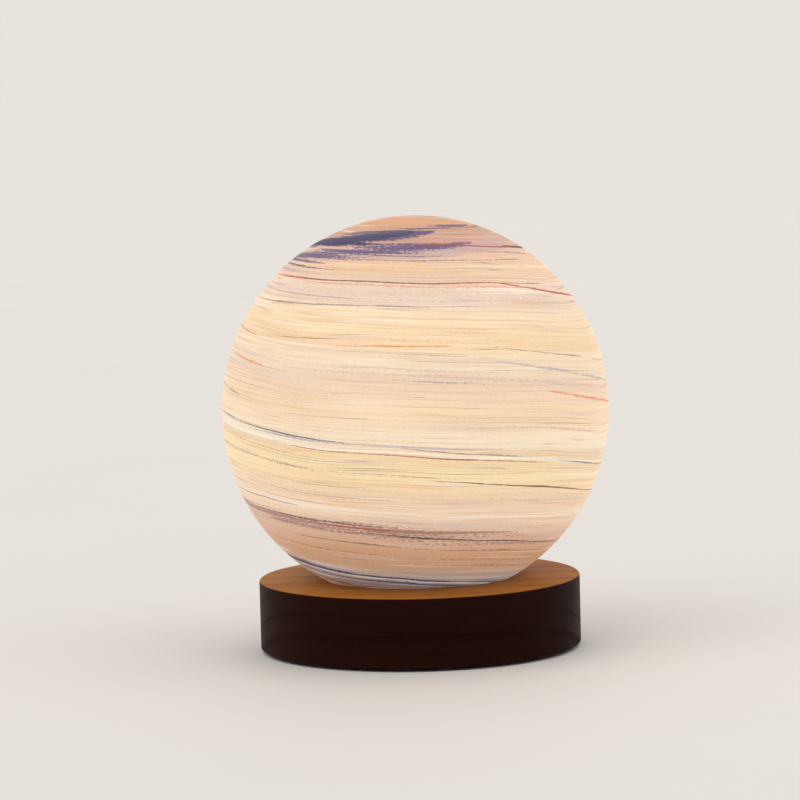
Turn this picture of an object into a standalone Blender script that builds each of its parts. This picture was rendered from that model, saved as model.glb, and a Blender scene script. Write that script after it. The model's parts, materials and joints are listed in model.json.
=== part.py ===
"""Globe table lamp: a painted opal glass globe seated in a turned wooden base.

Metres, +Z up, the front is towards -Y. The origin is on the table, under the middle of the base.
The globe lifts off three spring clips, the bulb pulls out of its holder and the button at the back
travels into its switch. Low voltage comes in through a socket beside the button.
"""

import math

import bmesh
import bpy
from mathutils import Vector

# Gaps between pieces, and how far a cutter runs past what it cuts.
GAP = 0.0003
CUT_OVERRUN = 0.002
MERGE = 0.00001

# Glass globe.
GLOBE_RADIUS = 0.075
GLASS_WALL = 0.003
NECK_RADIUS = 0.033
NECK_BLEND = 0.0012
LIFT_CIRCLE_RADIUS = 0.0374

# Turned wooden base.
BASE_RADIUS = 0.0625
WOOD_HEIGHT = 0.027
WOOD_LIFT = 0.001
TOP_EDGE_RADIUS = 0.001
BOTTOM_CHAMFER = 0.0008
POCKET_DEPTH = 0.009
WEB_THICKNESS = 0.0045
RIM_WALL = 0.0057
LEDGE_WIDTH = 0.0068
CAVITY_FILLET = 0.002

# Bottom cover, its screws and its feet.
COVER_THICKNESS = 0.0018
COVER_EDGE = 0.0004
COVER_SCREW_COUNT = 4
COVER_SCREW_TURN = math.radians(45)
FOOT_COUNT = 4
FOOT_RADIUS = 0.005
FOOT_HEIGHT = 0.002
FOOT_EDGE = 0.0012
FOOT_INSET = 0.012
SCREW_HEAD_RADIUS = 0.0028
SCREW_SHANK_RADIUS = 0.0015
SCREW_LENGTH = 0.0095
SCREW_POINT = 0.0015
CROSS_WIDTH = 0.0007
CROSS_LENGTH = 0.003
CROSS_DEPTH = 0.0008

# Gasket under the neck of the globe.
GASKET_THICKNESS = 0.001
GASKET_INSIDE = 0.001
GASKET_LIP_WIDTH = 0.0014
GASKET_LIP_HEIGHT = 0.0035

# Carrier plate with its three spring clips.
CARRIER_THICKNESS = 0.0012
CARRIER_CLEARANCE = 0.0015
CARRIER_VENT_RADIUS = 0.003
CLIP_COUNT = 3
CLIP_TURN = math.radians(90)
CLIP_WIDTH = 0.007
CLIP_THICKNESS = 0.0006
CLIP_HEEL_INSET = 0.0034
CLIP_SCREW_INSET = 0.0062
CLIP_FOOT_END = 0.0045
CLIP_BEND = 0.0012
CLIP_BOW_LEAN = math.radians(75)
CLIP_BOW_HEIGHT = 0.0042
CLIP_TIP_HEIGHT = 0.0145
CLIP_TIP_INSET = 0.0045
CLIP_SCREW_HEAD_RADIUS = 0.0026
CLIP_SCREW_HEAD_HEIGHT = 0.0018
CLIP_SCREW_SHANK_RADIUS = 0.0013
CLIP_SCREW_LENGTH = 0.0062

# Threaded column with its nuts.
COLUMN_RADIUS = 0.005
COLUMN_BORE_RADIUS = 0.0035
COLUMN_TAIL = 0.0005
COLLAR_NUT_ACROSS = 0.016
COLLAR_NUT_HEIGHT = 0.004
COLUMN_NUT_ACROSS = 0.014
COLUMN_NUT_HEIGHT = 0.003
WASHER_RADIUS = 0.009
WASHER_THICKNESS = 0.001
NUT_CHAMFER = 0.0003

# Bulb holder in its metal cup.
HOLDER_RADIUS = 0.0105
HOLDER_HEIGHT = 0.012
HOLDER_TOP_WALL = 0.005
HOLDER_EDGE = 0.001
HOLDER_CHAMBER_RADIUS = 0.0065
CUP_WALL = 0.0008
CUP_DEPTH = 0.0085
CUP_FLOOR = 0.0015
CUP_SHOULDER = 0.002
CUP_HUB_WALL = 0.0015
CUP_HUB_LENGTH = 0.008
CONTACT_RADIUS = 0.0014
CONTACT_LENGTH = 0.005

# Capsule bulb with two pins.
BULB_LENGTH = 0.034
BULB_RADIUS = 0.0075
BULB_COVER_WALL = 0.0008
BULB_CAP_HEIGHT = 0.005
BULB_CAP_EDGE = 0.0008
BULB_SPIGOT_HEIGHT = 0.003
PIN_SPACING = 0.004
PIN_RADIUS = 0.0004
PIN_LENGTH = 0.0075
PIN_ROOT = 0.002
BOARD_WIDTH = 0.008
BOARD_THICKNESS = 0.0012
BOARD_HEIGHT = 0.018
CHIP_WIDTH = 0.0028
CHIP_HEIGHT = 0.0035
CHIP_THICKNESS = 0.0008
CHIP_ROWS = 3

# Seats for the two pieces that are screwed into the back of the base.
SPOT_DEPTH = 0.0015
SPOT_CLEARANCE = 0.0006
COVER_OVERLAP = 0.0008
RECESS_WIDTH = 0.016
RECESS_HEADROOM = 0.0004
BARREL_RADIUS = 0.004
BARREL_LENGTH = 0.016
FLANGE_RADIUS = 0.0055
FLANGE_THICKNESS = 0.0018
FLANGE_EDGE = 0.0004
PANEL_NUT_ACROSS = 0.0094
PANEL_NUT_HEIGHT = 0.0022
TERMINAL_RADIUS = 0.0006
TERMINAL_REACH = 0.004
TERMINAL_ROOT = 0.003
TERMINAL_OFFSET = 0.0022

# Socket for the plug of the power supply.
JACK_AZIMUTH = math.radians(120)
JACK_BORE_RADIUS = 0.00275
JACK_BORE_DEPTH = 0.0095
JACK_PIN_RADIUS = 0.00105
JACK_PIN_SET_BACK = 0.001

# Push switch.
SWITCH_AZIMUTH = math.radians(90)
SWITCH_MOUTH_RADIUS = 0.003
SWITCH_LIP = 0.001
SWITCH_BORE_RADIUS = 0.0034
SWITCH_BORE_DEPTH = 0.011
BUTTON_PROUD = 0.0028
BUTTON_EDGE = 0.0007
BUTTON_SKIRT = 0.003
BUTTON_STEM_RADIUS = 0.0008
BUTTON_STEM_LENGTH = 0.0025
SPRING_COIL_RADIUS = 0.0019
SPRING_WIRE_RADIUS = 0.00025
SPRING_TURNS = 5

# Wires inside the lamp.
WIRE_RADIUS = 0.0006
WIRE_SPREAD = 0.0017
WIRE_LEAD = 0.005
WIRE_FLOOR_CLEARANCE = 0.0011
WIRE_DIP_SHARE = 0.6
WIRE_LANDING_SHARE = 0.88
WIRE_BEND_SHARE = 0.2

# How finely round shapes are divided.
GLOBE_STEPS = 48
BASE_STEPS = 48
RING_STEPS = 32
SMALL_STEPS = 20
PIECE_STEPS = 16
SCREW_STEPS = 12
GLOBE_ARC_POINTS = 20
GLOBE_INNER_ARC_POINTS = 12
DOME_ARC_POINTS = 6
BLEND_POINTS = 4
CLIP_POINTS = 9
WIRE_POINTS = 18
SPRING_TURN_POINTS = 8
SHARP_ANGLE = math.radians(32)

# Heights of the stack, from the table up.
COVER_BOTTOM = FOOT_HEIGHT + GAP
COVER_TOP = COVER_BOTTOM + COVER_THICKNESS
REBATE_CEILING = COVER_TOP + GAP
BASE_TOP = WOOD_LIFT + WOOD_HEIGHT
POCKET_FLOOR = BASE_TOP - POCKET_DEPTH
CAVITY_CEILING = POCKET_FLOOR - WEB_THICKNESS
PANEL_HEIGHT = (REBATE_CEILING + CAVITY_CEILING) / 2
CARRIER_BOTTOM = POCKET_FLOOR + GAP
CARRIER_TOP = CARRIER_BOTTOM + CARRIER_THICKNESS
CLIP_FOOT_BOTTOM = CARRIER_TOP + GAP
GASKET_BOTTOM = POCKET_FLOOR + GAP
NECK_END = GASKET_BOTTOM + GASKET_THICKNESS + GAP
GLOBE_CENTRE = BASE_TOP + math.sqrt(GLOBE_RADIUS**2 - LIFT_CIRCLE_RADIUS**2)
BULB_BOTTOM = GLOBE_CENTRE - BULB_LENGTH / 2
HOLDER_TOP = BULB_BOTTOM - GAP
HOLDER_BOTTOM = HOLDER_TOP - HOLDER_HEIGHT
CUP_FLOOR_TOP = HOLDER_BOTTOM - GAP
CUP_FLOOR_BOTTOM = CUP_FLOOR_TOP - CUP_FLOOR
COLUMN_TOP = CUP_FLOOR_BOTTOM - GAP
COLLAR_NUT_BOTTOM = CARRIER_TOP + GAP
WASHER_BOTTOM = CAVITY_CEILING - GAP - WASHER_THICKNESS
COLUMN_NUT_BOTTOM = WASHER_BOTTOM - GAP - COLUMN_NUT_HEIGHT
COLUMN_BOTTOM = COLUMN_NUT_BOTTOM - COLUMN_TAIL
CONTACT_BOTTOM = HOLDER_TOP - HOLDER_TOP_WALL - GAP - CONTACT_LENGTH

# Radii that follow from what fits into what.
NECK_BORE_RADIUS = NECK_RADIUS - GLASS_WALL
POCKET_RADIUS = NECK_RADIUS + GAP + GASKET_LIP_WIDTH + GAP
GASKET_RADIUS = POCKET_RADIUS - GAP
GASKET_BORE_RADIUS = NECK_BORE_RADIUS - GASKET_INSIDE
CARRIER_RADIUS = GASKET_BORE_RADIUS - CARRIER_CLEARANCE
COLUMN_HOLE_RADIUS = COLUMN_RADIUS + GAP
REBATE_RADIUS = BASE_RADIUS - RIM_WALL
CAVITY_RADIUS = REBATE_RADIUS - LEDGE_WIDTH
COVER_RADIUS = REBATE_RADIUS - GAP
COVER_SCREW_CIRCLE = (CAVITY_RADIUS + COVER_RADIUS) / 2
FOOT_CIRCLE = COVER_RADIUS - FOOT_INSET
SEAT_SPHERE_RADIUS = GLOBE_RADIUS + GAP
CLIP_BOW_RADIUS = math.sqrt((NECK_BORE_RADIUS - GAP) ** 2 - (CLIP_WIDTH / 2) ** 2) - CLIP_THICKNESS
CLIP_HEEL_RADIUS = CLIP_BOW_RADIUS - CLIP_HEEL_INSET
CLIP_SCREW_CIRCLE = CLIP_HEEL_RADIUS - CLIP_SCREW_INSET
CLIP_FOOT_START = CLIP_SCREW_CIRCLE - CLIP_FOOT_END
PANEL_SEAT = BASE_RADIUS - SPOT_DEPTH
PANEL_WALL = RIM_WALL - SPOT_DEPTH + COVER_OVERLAP
PANEL_FACE = GAP + FLANGE_THICKNESS
CLIP_AZIMUTHS = [CLIP_TURN + 2 * math.pi * n / CLIP_COUNT for n in range(CLIP_COUNT)]

FINISHES = {
    "opal_glass": ((0.93, 0.85, 0.70), 0.25, 0.0),
    "wood": ((0.26, 0.12, 0.05), 0.45, 0.0),
    "black_plastic": ((0.03, 0.03, 0.03), 0.5, 0.0),
    "soft_rubber": ((0.05, 0.05, 0.05), 0.8, 0.0),
    "silicone": ((0.75, 0.72, 0.66), 0.7, 0.0),
    "zinc_steel": ((0.62, 0.61, 0.58), 0.35, 1.0),
    "spring_steel": ((0.55, 0.55, 0.56), 0.3, 1.0),
    "brass": ((0.78, 0.58, 0.28), 0.3, 1.0),
    "ceramic": ((0.90, 0.88, 0.83), 0.4, 0.0),
    "white_plastic": ((0.90, 0.90, 0.88), 0.4, 0.0),
    "frosted_plastic": ((0.94, 0.92, 0.84), 0.5, 0.0),
    "red_wire": ((0.55, 0.04, 0.03), 0.5, 0.0),
    "black_wire": ((0.02, 0.02, 0.02), 0.5, 0.0),
}


def clear_scene():
    """Removes every object, so that only the lamp is left."""
    for obj in list(bpy.data.objects):
        bpy.data.objects.remove(obj, do_unlink=True)


def new_collection(name):
    collection = bpy.data.collections.new(name)
    bpy.context.scene.collection.children.link(collection)
    return collection


def finish_of(name):
    """The named material, made on its first use."""
    found = bpy.data.materials.get(name)
    if found:
        return found
    colour, roughness, metallic = FINISHES[name]
    material = bpy.data.materials.new(name)
    material.use_nodes = True
    shader = material.node_tree.nodes["Principled BSDF"]
    shader.inputs["Base Color"].default_value = (*colour, 1.0)
    shader.inputs["Roughness"].default_value = roughness
    shader.inputs["Metallic"].default_value = metallic
    material.diffuse_color = (*colour, 1.0)
    return material


def new_object(name, data, finish):
    """A visible piece, or a cutter where no finish is given."""
    obj = bpy.data.objects.new(name, data)
    if finish:
        PARTS.objects.link(obj)
        data.materials.append(finish_of(finish))
    else:
        CUTTERS.objects.link(obj)
        obj.hide_render = True
        obj.display_type = "WIRE"
    return obj


def settle(obj):
    """Turns the modifiers into plain mesh, smooth on its rounds and sharp at its corners."""
    bpy.context.view_layer.update()
    graph = bpy.context.evaluated_depsgraph_get()
    mesh = bpy.data.meshes.new_from_object(obj.evaluated_get(graph))
    mesh.name = obj.name
    obj.modifiers.clear()
    obj.data = mesh
    mesh.shade_smooth()
    mesh.set_sharp_from_angle(angle=SHARP_ANGLE)
    return obj


def turned(name, profile, finish, steps):
    """Turns a closed outline of (radius, height) points about Z. It runs down its outer side."""
    mesh = bpy.data.meshes.new(name)
    points = [(radius, 0.0, height) for radius, height in profile]
    edges = [(n, n + 1) for n in range(len(points) - 1)]
    if profile[0][0] > 0.0:
        edges.append((len(points) - 1, 0))
    mesh.from_pydata(points, edges, [])
    obj = new_object(name, mesh, finish)
    screw = obj.modifiers.new("turn", "SCREW")
    screw.axis = "Z"
    screw.angle = 2 * math.pi
    screw.steps = steps
    screw.render_steps = steps
    screw.use_merge_vertices = True
    screw.merge_threshold = MERGE
    return settle(obj)


def rod(name, radius, bottom, top, finish, steps=SMALL_STEPS):
    """A plain round bar about Z."""
    return turned(name, [(0.0, top), (radius, top), (radius, bottom), (0.0, bottom)], finish, steps)


def ring(name, radius, bore, bottom, top, finish, steps=SMALL_STEPS):
    """A plain round tube or washer about Z."""
    return turned(name, [(bore, top), (radius, top), (radius, bottom), (bore, bottom)], finish, steps)


def block(name, size, centre, finish):
    """A box with its middle at centre."""
    mesh = bpy.data.meshes.new(name)
    cage = bmesh.new()
    bmesh.ops.create_cube(cage, size=1.0)
    bmesh.ops.scale(cage, vec=size, verts=cage.verts)
    bmesh.ops.translate(cage, vec=centre, verts=cage.verts)
    cage.to_mesh(mesh)
    cage.free()
    return new_object(name, mesh, finish)


def boolean(obj, other, operation="DIFFERENCE"):
    modifier = obj.modifiers.new(other.name, "BOOLEAN")
    modifier.operation = operation
    modifier.solver = "EXACT"
    modifier.object = other


def arc(centre, radius, start, end, count):
    """Points on an arc, from the angle start to the angle end, both ends included."""
    angles = [start + (end - start) * n / (count - 1) for n in range(count)]
    return [(centre[0] + radius * math.cos(a), centre[1] + radius * math.sin(a)) for a in angles]


def smooth_path(points, count):
    """A smooth curve through the points, read at equal steps of its parameter."""
    anchors = [Vector(point) for point in points]
    anchors = [2 * anchors[0] - anchors[1], *anchors, 2 * anchors[-1] - anchors[-2]]
    spans = len(anchors) - 3
    path = []
    for n in range(count):
        at = spans * n / (count - 1)
        span = min(int(at), spans - 1)
        t = at - span
        a, b, c, d = anchors[span : span + 4]
        bow = (2 * a - 5 * b + 4 * c - d) * t**2
        swing = (3 * b - a - 3 * c + d) * t**3
        path.append((2 * b + (c - a) * t + bow + swing) / 2)
    return path


def wire(name, path, radius, finish, resolution=2):
    """A round wire along the path, closed at both ends."""
    curve = bpy.data.curves.new(name, "CURVE")
    curve.dimensions = "3D"
    curve.bevel_depth = radius
    curve.bevel_resolution = resolution
    curve.use_fill_caps = True
    spline = curve.splines.new("POLY")
    spline.points.add(len(path) - 1)
    for point, place in zip(spline.points, path):
        point.co = (*place, 1.0)
    return new_object(name, curve, finish)


def place(obj, location=(0.0, 0.0, 0.0), azimuth=0.0, parent=None):
    obj.location = location
    obj.rotation_euler = (0.0, 0.0, azimuth)
    obj.parent = parent
    return obj


def around(radius, azimuth, height=0.0):
    return (radius * math.cos(azimuth), radius * math.sin(azimuth), height)


def evenly(count, start):
    return [start + 2 * math.pi * n / count for n in range(count)]


def hex_nut(name, across, height, bore, finish):
    """A chamfered six-sided nut that stands on z = 0."""
    corner = across / math.sqrt(3)
    mesh = bpy.data.meshes.new(name)
    cage = bmesh.new()
    bmesh.ops.create_cone(cage, cap_ends=True, segments=6, radius1=corner, radius2=corner, depth=height)
    bmesh.ops.translate(cage, vec=(0.0, 0.0, height / 2), verts=cage.verts)
    cage.to_mesh(mesh)
    cage.free()
    nut = new_object(name, mesh, finish)
    outer = corner + GAP
    run_in = across / 2 - GAP
    chamfer = NUT_CHAMFER * (outer - run_in) / (corner - across / 2)
    profile = [
        (bore, height),
        (run_in, height),
        (outer, height - chamfer),
        (outer, chamfer),
        (run_in, 0.0),
        (bore, 0.0),
    ]
    boolean(nut, turned(name + "_blank", profile, None, SCREW_STEPS), "INTERSECT")
    return settle(nut)


def cross_recess(name, face, direction):
    """Two crossed blades that cut a driver recess into a screw's face, towards direction."""
    depth = CROSS_DEPTH + CUT_OVERRUN
    middle = face + direction * (CROSS_DEPTH - CUT_OVERRUN) / 2
    sizes = [(CROSS_LENGTH, CROSS_WIDTH, depth), (CROSS_WIDTH, CROSS_LENGTH, depth)]
    return [block(f"{name}_{n}", size, (0.0, 0.0, middle), None) for n, size in enumerate(sizes)]


def make_globe():
    """One wall of blown glass: a sphere that turns into a short neck with a rounded lip."""
    reach = GLOBE_RADIUS + NECK_BLEND
    blend_radius = NECK_RADIUS + NECK_BLEND
    blend = (blend_radius, -math.sqrt(reach**2 - blend_radius**2))
    turn = math.atan2(blend[1], blend[0])
    lip_radius = GLASS_WALL / 2
    lip = (NECK_RADIUS - lip_radius, NECK_END - GLOBE_CENTRE + lip_radius)
    inner_radius = GLOBE_RADIUS - GLASS_WALL
    top = math.pi / 2
    back = turn + math.pi
    outer = arc((0.0, 0.0), GLOBE_RADIUS, top, turn, GLOBE_ARC_POINTS)
    outer_blend = arc(blend, NECK_BLEND, back, math.pi, BLEND_POINTS)[1:]
    lip_round = arc(lip, lip_radius, 0.0, -math.pi, BLEND_POINTS + 1)
    inner_blend = arc(blend, NECK_BLEND + GLASS_WALL, math.pi, back, BLEND_POINTS)
    inner = arc((0.0, 0.0), inner_radius, turn, top, GLOBE_INNER_ARC_POINTS)[1:]
    profile = outer + outer_blend + lip_round + inner_blend + inner
    profile[0] = (0.0, GLOBE_RADIUS)
    profile[-1] = (0.0, inner_radius)
    globe = turned("glass_globe", profile, "opal_glass", GLOBE_STEPS)
    return place(globe, (0.0, 0.0, GLOBE_CENTRE))


def base_profile():
    """The section of the wooden base, from the mouth of the seat round to the mouth again."""
    mouth_drop = GLOBE_CENTRE - BASE_TOP
    mouth = math.sqrt(SEAT_SPHERE_RADIUS**2 - mouth_drop**2)
    seat_start = -math.acos(POCKET_RADIUS / SEAT_SPHERE_RADIUS)
    seat_end = -math.acos(mouth / SEAT_SPHERE_RADIUS)
    edge = (BASE_RADIUS - TOP_EDGE_RADIUS, BASE_TOP - TOP_EDGE_RADIUS)
    fillet = (CAVITY_RADIUS - CAVITY_FILLET, CAVITY_CEILING - CAVITY_FILLET)
    profile = arc(edge, TOP_EDGE_RADIUS, math.pi / 2, 0.0, BLEND_POINTS)
    profile += [
        (BASE_RADIUS, WOOD_LIFT + BOTTOM_CHAMFER),
        (BASE_RADIUS - BOTTOM_CHAMFER, WOOD_LIFT),
        (REBATE_RADIUS, WOOD_LIFT),
        (REBATE_RADIUS, REBATE_CEILING),
        (CAVITY_RADIUS, REBATE_CEILING),
    ]
    profile += arc(fillet, CAVITY_FILLET, 0.0, math.pi / 2, BLEND_POINTS)
    profile += [
        (COLUMN_HOLE_RADIUS, CAVITY_CEILING),
        (COLUMN_HOLE_RADIUS, POCKET_FLOOR),
        (POCKET_RADIUS, POCKET_FLOOR),
    ]
    profile += arc((0.0, GLOBE_CENTRE), SEAT_SPHERE_RADIUS, seat_start, seat_end, BLEND_POINTS)
    return profile


def panel_frame(name, azimuth):
    """An empty on the back of the base: its +Z points out of the wood, from the spot-faced seat."""
    frame = bpy.data.objects.new(name, None)
    PARTS.objects.link(frame)
    frame.location = around(PANEL_SEAT, azimuth, PANEL_HEIGHT)
    frame.rotation_euler = (0.0, math.pi / 2, azimuth)
    return frame


def cut_panel_seat(base, frame):
    """A recess inside that leaves an even wall, and a stepped drill for the hole and its spot face."""
    name = frame.name
    hole_radius = BARREL_RADIUS + GAP
    spot_radius = FLANGE_RADIUS + SPOT_CLEARANCE
    recess_end = PANEL_SEAT - CAVITY_RADIUS + CAVITY_FILLET + CUT_OVERRUN
    recess_top = CAVITY_CEILING + RECESS_HEADROOM
    recess_low = REBATE_CEILING - CUT_OVERRUN
    recess_size = (recess_top - recess_low, RECESS_WIDTH, recess_end - PANEL_WALL)
    recess_drop = PANEL_HEIGHT - (recess_top + recess_low) / 2
    recess_middle = (recess_drop, 0.0, -(PANEL_WALL + recess_end) / 2)
    drill = [
        (0.0, SPOT_DEPTH + CUT_OVERRUN),
        (spot_radius, SPOT_DEPTH + CUT_OVERRUN),
        (spot_radius, 0.0),
        (hole_radius, 0.0),
        (hole_radius, -PANEL_WALL - CUT_OVERRUN),
        (0.0, -PANEL_WALL - CUT_OVERRUN),
    ]
    cutters = [
        block(name + "_recess", recess_size, recess_middle, None),
        turned(name + "_drill", drill, None, SMALL_STEPS),
    ]
    for cutter in cutters:
        cutter.parent = frame
        boolean(base, cutter)


def make_base(frames):
    base = place(turned("wood_base", base_profile(), "wood", BASE_STEPS), azimuth=math.pi / BASE_STEPS)
    for frame in frames:
        cut_panel_seat(base, frame)
    for n, azimuth in enumerate(CLIP_AZIMUTHS):
        low = CAVITY_CEILING - CUT_OVERRUN
        high = POCKET_FLOOR + CUT_OVERRUN
        radius = CLIP_SCREW_SHANK_RADIUS + GAP
        hole = rod(f"clip_screw_hole_{n}", radius, low, high, None, SCREW_STEPS)
        boolean(base, place(hole, around(CLIP_SCREW_CIRCLE, azimuth)))
    for n, azimuth in enumerate(evenly(COVER_SCREW_COUNT, COVER_SCREW_TURN)):
        top = COVER_BOTTOM + SCREW_LENGTH + GAP
        radius = SCREW_SHANK_RADIUS + GAP
        hole = rod(f"pilot_hole_{n}", radius, REBATE_CEILING - CUT_OVERRUN, top, None, SCREW_STEPS)
        boolean(base, place(hole, around(COVER_SCREW_CIRCLE, azimuth)))
    return settle(base)


def make_gasket():
    """An angle ring that keeps the glass off the wood, under the neck and round it."""
    height = GASKET_THICKNESS + GASKET_LIP_HEIGHT
    lip_bore = GASKET_RADIUS - GASKET_LIP_WIDTH
    profile = [
        (lip_bore, height),
        (GASKET_RADIUS, height),
        (GASKET_RADIUS, 0.0),
        (GASKET_BORE_RADIUS, 0.0),
        (GASKET_BORE_RADIUS, GASKET_THICKNESS),
        (lip_bore, GASKET_THICKNESS),
    ]
    return place(turned("globe_gasket", profile, "silicone", RING_STEPS), (0.0, 0.0, GASKET_BOTTOM))


def make_carrier():
    """The steel plate on the pocket floor, with holes for air between the clips."""
    bore = COLUMN_HOLE_RADIUS
    carrier = ring("carrier_plate", CARRIER_RADIUS, bore, 0.0, CARRIER_THICKNESS, "zinc_steel", RING_STEPS)
    nut_corner = COLLAR_NUT_ACROSS / math.sqrt(3)
    vent_circle = (nut_corner + CARRIER_RADIUS) / 2
    high = CARRIER_THICKNESS + CUT_OVERRUN
    for n, azimuth in enumerate(CLIP_AZIMUTHS):
        screw_radius = CLIP_SCREW_SHANK_RADIUS + GAP
        screw_hole = rod(f"carrier_screw_hole_{n}", screw_radius, -CUT_OVERRUN, high, None, SCREW_STEPS)
        boolean(carrier, place(screw_hole, around(CLIP_SCREW_CIRCLE, azimuth)))
        vent = rod(f"carrier_vent_{n}", CARRIER_VENT_RADIUS, -CUT_OVERRUN, high, None, PIECE_STEPS)
        between = azimuth + math.pi / CLIP_COUNT
        boolean(carrier, place(vent, around(vent_circle, between)))
    settle(carrier)
    return place(carrier, (0.0, 0.0, CARRIER_BOTTOM))


def make_clips():
    """Leaf springs: a flat foot, a bow that grips the bore of the neck and a tip that leads it in."""
    half = CLIP_THICKNESS / 2
    heel_middle = (CLIP_HEEL_RADIUS, half + CLIP_BEND)
    heel_end = CLIP_BOW_LEAN - math.pi / 2
    heel = arc(heel_middle, CLIP_BEND, -math.pi / 2, heel_end, BLEND_POINTS)
    bend = [Vector((radius, 0.0, height)) for radius, height in heel]
    bow = Vector((CLIP_BOW_RADIUS, 0.0, CLIP_BOW_HEIGHT))
    tip = Vector((CLIP_BOW_RADIUS - CLIP_TIP_INSET, 0.0, CLIP_TIP_HEIGHT))
    path = [Vector((CLIP_FOOT_START, 0.0, half)), *bend[:-1]]
    path += smooth_path([bend[-1], bow, tip], CLIP_POINTS)
    side = Vector((0.0, CLIP_WIDTH / 2, 0.0))
    points = [point - side for point in path] + [point + side for point in path]
    last = len(path)
    faces = [(n, n + 1, n + 1 + last, n + last) for n in range(last - 1)]
    for n, azimuth in enumerate(CLIP_AZIMUTHS, 1):
        strip = bpy.data.meshes.new(f"spring_clip_{n}")
        strip.from_pydata(points, [], faces)
        clip = new_object(f"spring_clip_{n}", strip, "spring_steel")
        thicken = clip.modifiers.new("thickness", "SOLIDIFY")
        thicken.thickness = CLIP_THICKNESS
        thicken.offset = 0.0
        radius = CLIP_SCREW_SHANK_RADIUS + GAP
        hole = rod(f"clip_hole_{n}", radius, -CUT_OVERRUN, CUT_OVERRUN, None, SCREW_STEPS)
        boolean(clip, place(hole, (CLIP_SCREW_CIRCLE, 0.0, 0.0)))
        settle(clip)
        place(clip, (0.0, 0.0, CLIP_FOOT_BOTTOM), azimuth)


def make_clip_screws():
    """Pan-head screws through each clip and the plate into the web of the base."""
    seat = CLIP_FOOT_BOTTOM + CLIP_THICKNESS + GAP
    head_top = CLIP_SCREW_HEAD_HEIGHT
    profile = [
        (0.0, head_top),
        (CLIP_SCREW_HEAD_RADIUS - SCREW_POINT / 2, head_top),
        (CLIP_SCREW_HEAD_RADIUS, head_top / 2),
        (CLIP_SCREW_HEAD_RADIUS, 0.0),
        (CLIP_SCREW_SHANK_RADIUS, 0.0),
        (CLIP_SCREW_SHANK_RADIUS, SCREW_POINT - CLIP_SCREW_LENGTH),
        (0.0, -CLIP_SCREW_LENGTH),
    ]
    for n, azimuth in enumerate(CLIP_AZIMUTHS, 1):
        screw = turned(f"clip_screw_{n}", profile, "zinc_steel", SCREW_STEPS)
        for blade in cross_recess(screw.name + "_recess", head_top, -1):
            boolean(screw, blade)
        settle(screw)
        place(screw, around(CLIP_SCREW_CIRCLE, azimuth, seat), azimuth)


def make_column():
    """The threaded tube that carries the bulb, clamped through the web by two nuts and a washer."""
    height = COLUMN_TOP - COLUMN_BOTTOM
    column = ring("lamp_column", COLUMN_RADIUS, COLUMN_BORE_RADIUS, 0.0, height, "zinc_steel", PIECE_STEPS)
    place(column, (0.0, 0.0, COLUMN_BOTTOM))
    bore = COLUMN_HOLE_RADIUS
    collar = hex_nut("collar_nut", COLLAR_NUT_ACROSS, COLLAR_NUT_HEIGHT, bore, "brass")
    place(collar, (0.0, 0.0, COLLAR_NUT_BOTTOM))
    washer = ring("column_washer", WASHER_RADIUS, bore, 0.0, WASHER_THICKNESS, "zinc_steel")
    place(washer, (0.0, 0.0, WASHER_BOTTOM))
    nut = hex_nut("column_nut", COLUMN_NUT_ACROSS, COLUMN_NUT_HEIGHT, bore, "zinc_steel")
    place(nut, (0.0, 0.0, COLUMN_NUT_BOTTOM))


def make_holder():
    """The ceramic holder in its spun cup, with a contact tube under each pin hole."""
    hub_radius = COLUMN_HOLE_RADIUS + CUP_HUB_WALL
    cup_bore = HOLDER_RADIUS + GAP
    cup_radius = cup_bore + CUP_WALL
    cup_profile = [
        (cup_bore, GAP + CUP_DEPTH),
        (cup_radius, GAP + CUP_DEPTH),
        (cup_radius, 0.0),
        (hub_radius, -CUP_FLOOR - CUP_SHOULDER),
        (hub_radius, -CUP_FLOOR - CUP_HUB_LENGTH),
        (COLUMN_HOLE_RADIUS, -CUP_FLOOR - CUP_HUB_LENGTH),
        (COLUMN_HOLE_RADIUS, -CUP_FLOOR),
        (COLUMN_BORE_RADIUS, -CUP_FLOOR),
        (COLUMN_BORE_RADIUS, 0.0),
        (cup_bore, 0.0),
    ]
    cup = turned("holder_cup", cup_profile, "brass", SMALL_STEPS)
    place(cup, (0.0, 0.0, CUP_FLOOR_TOP))
    ceiling = HOLDER_HEIGHT - HOLDER_TOP_WALL
    holder_profile = [
        (0.0, HOLDER_HEIGHT),
        (HOLDER_RADIUS - HOLDER_EDGE, HOLDER_HEIGHT),
        (HOLDER_RADIUS, HOLDER_HEIGHT - HOLDER_EDGE),
        (HOLDER_RADIUS, 0.0),
        (HOLDER_CHAMBER_RADIUS, 0.0),
        (HOLDER_CHAMBER_RADIUS, ceiling),
        (0.0, ceiling),
    ]
    holder = turned("lamp_holder", holder_profile, "ceramic", SMALL_STEPS)
    for n, side in enumerate((-1, 1), 1):
        top = HOLDER_HEIGHT + CUT_OVERRUN
        hole = rod(f"pin_hole_{n}", PIN_RADIUS + GAP, ceiling - CUT_OVERRUN, top, None, SCREW_STEPS)
        boolean(holder, place(hole, (side * PIN_SPACING / 2, 0.0, 0.0)))
        contact = ring(
            f"holder_contact_{n}", CONTACT_RADIUS, PIN_RADIUS + GAP, 0.0, CONTACT_LENGTH, "brass", SCREW_STEPS
        )
        place(contact, (side * PIN_SPACING / 2, 0.0, CONTACT_BOTTOM))
    settle(holder)
    place(holder, (0.0, 0.0, HOLDER_BOTTOM))


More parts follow.
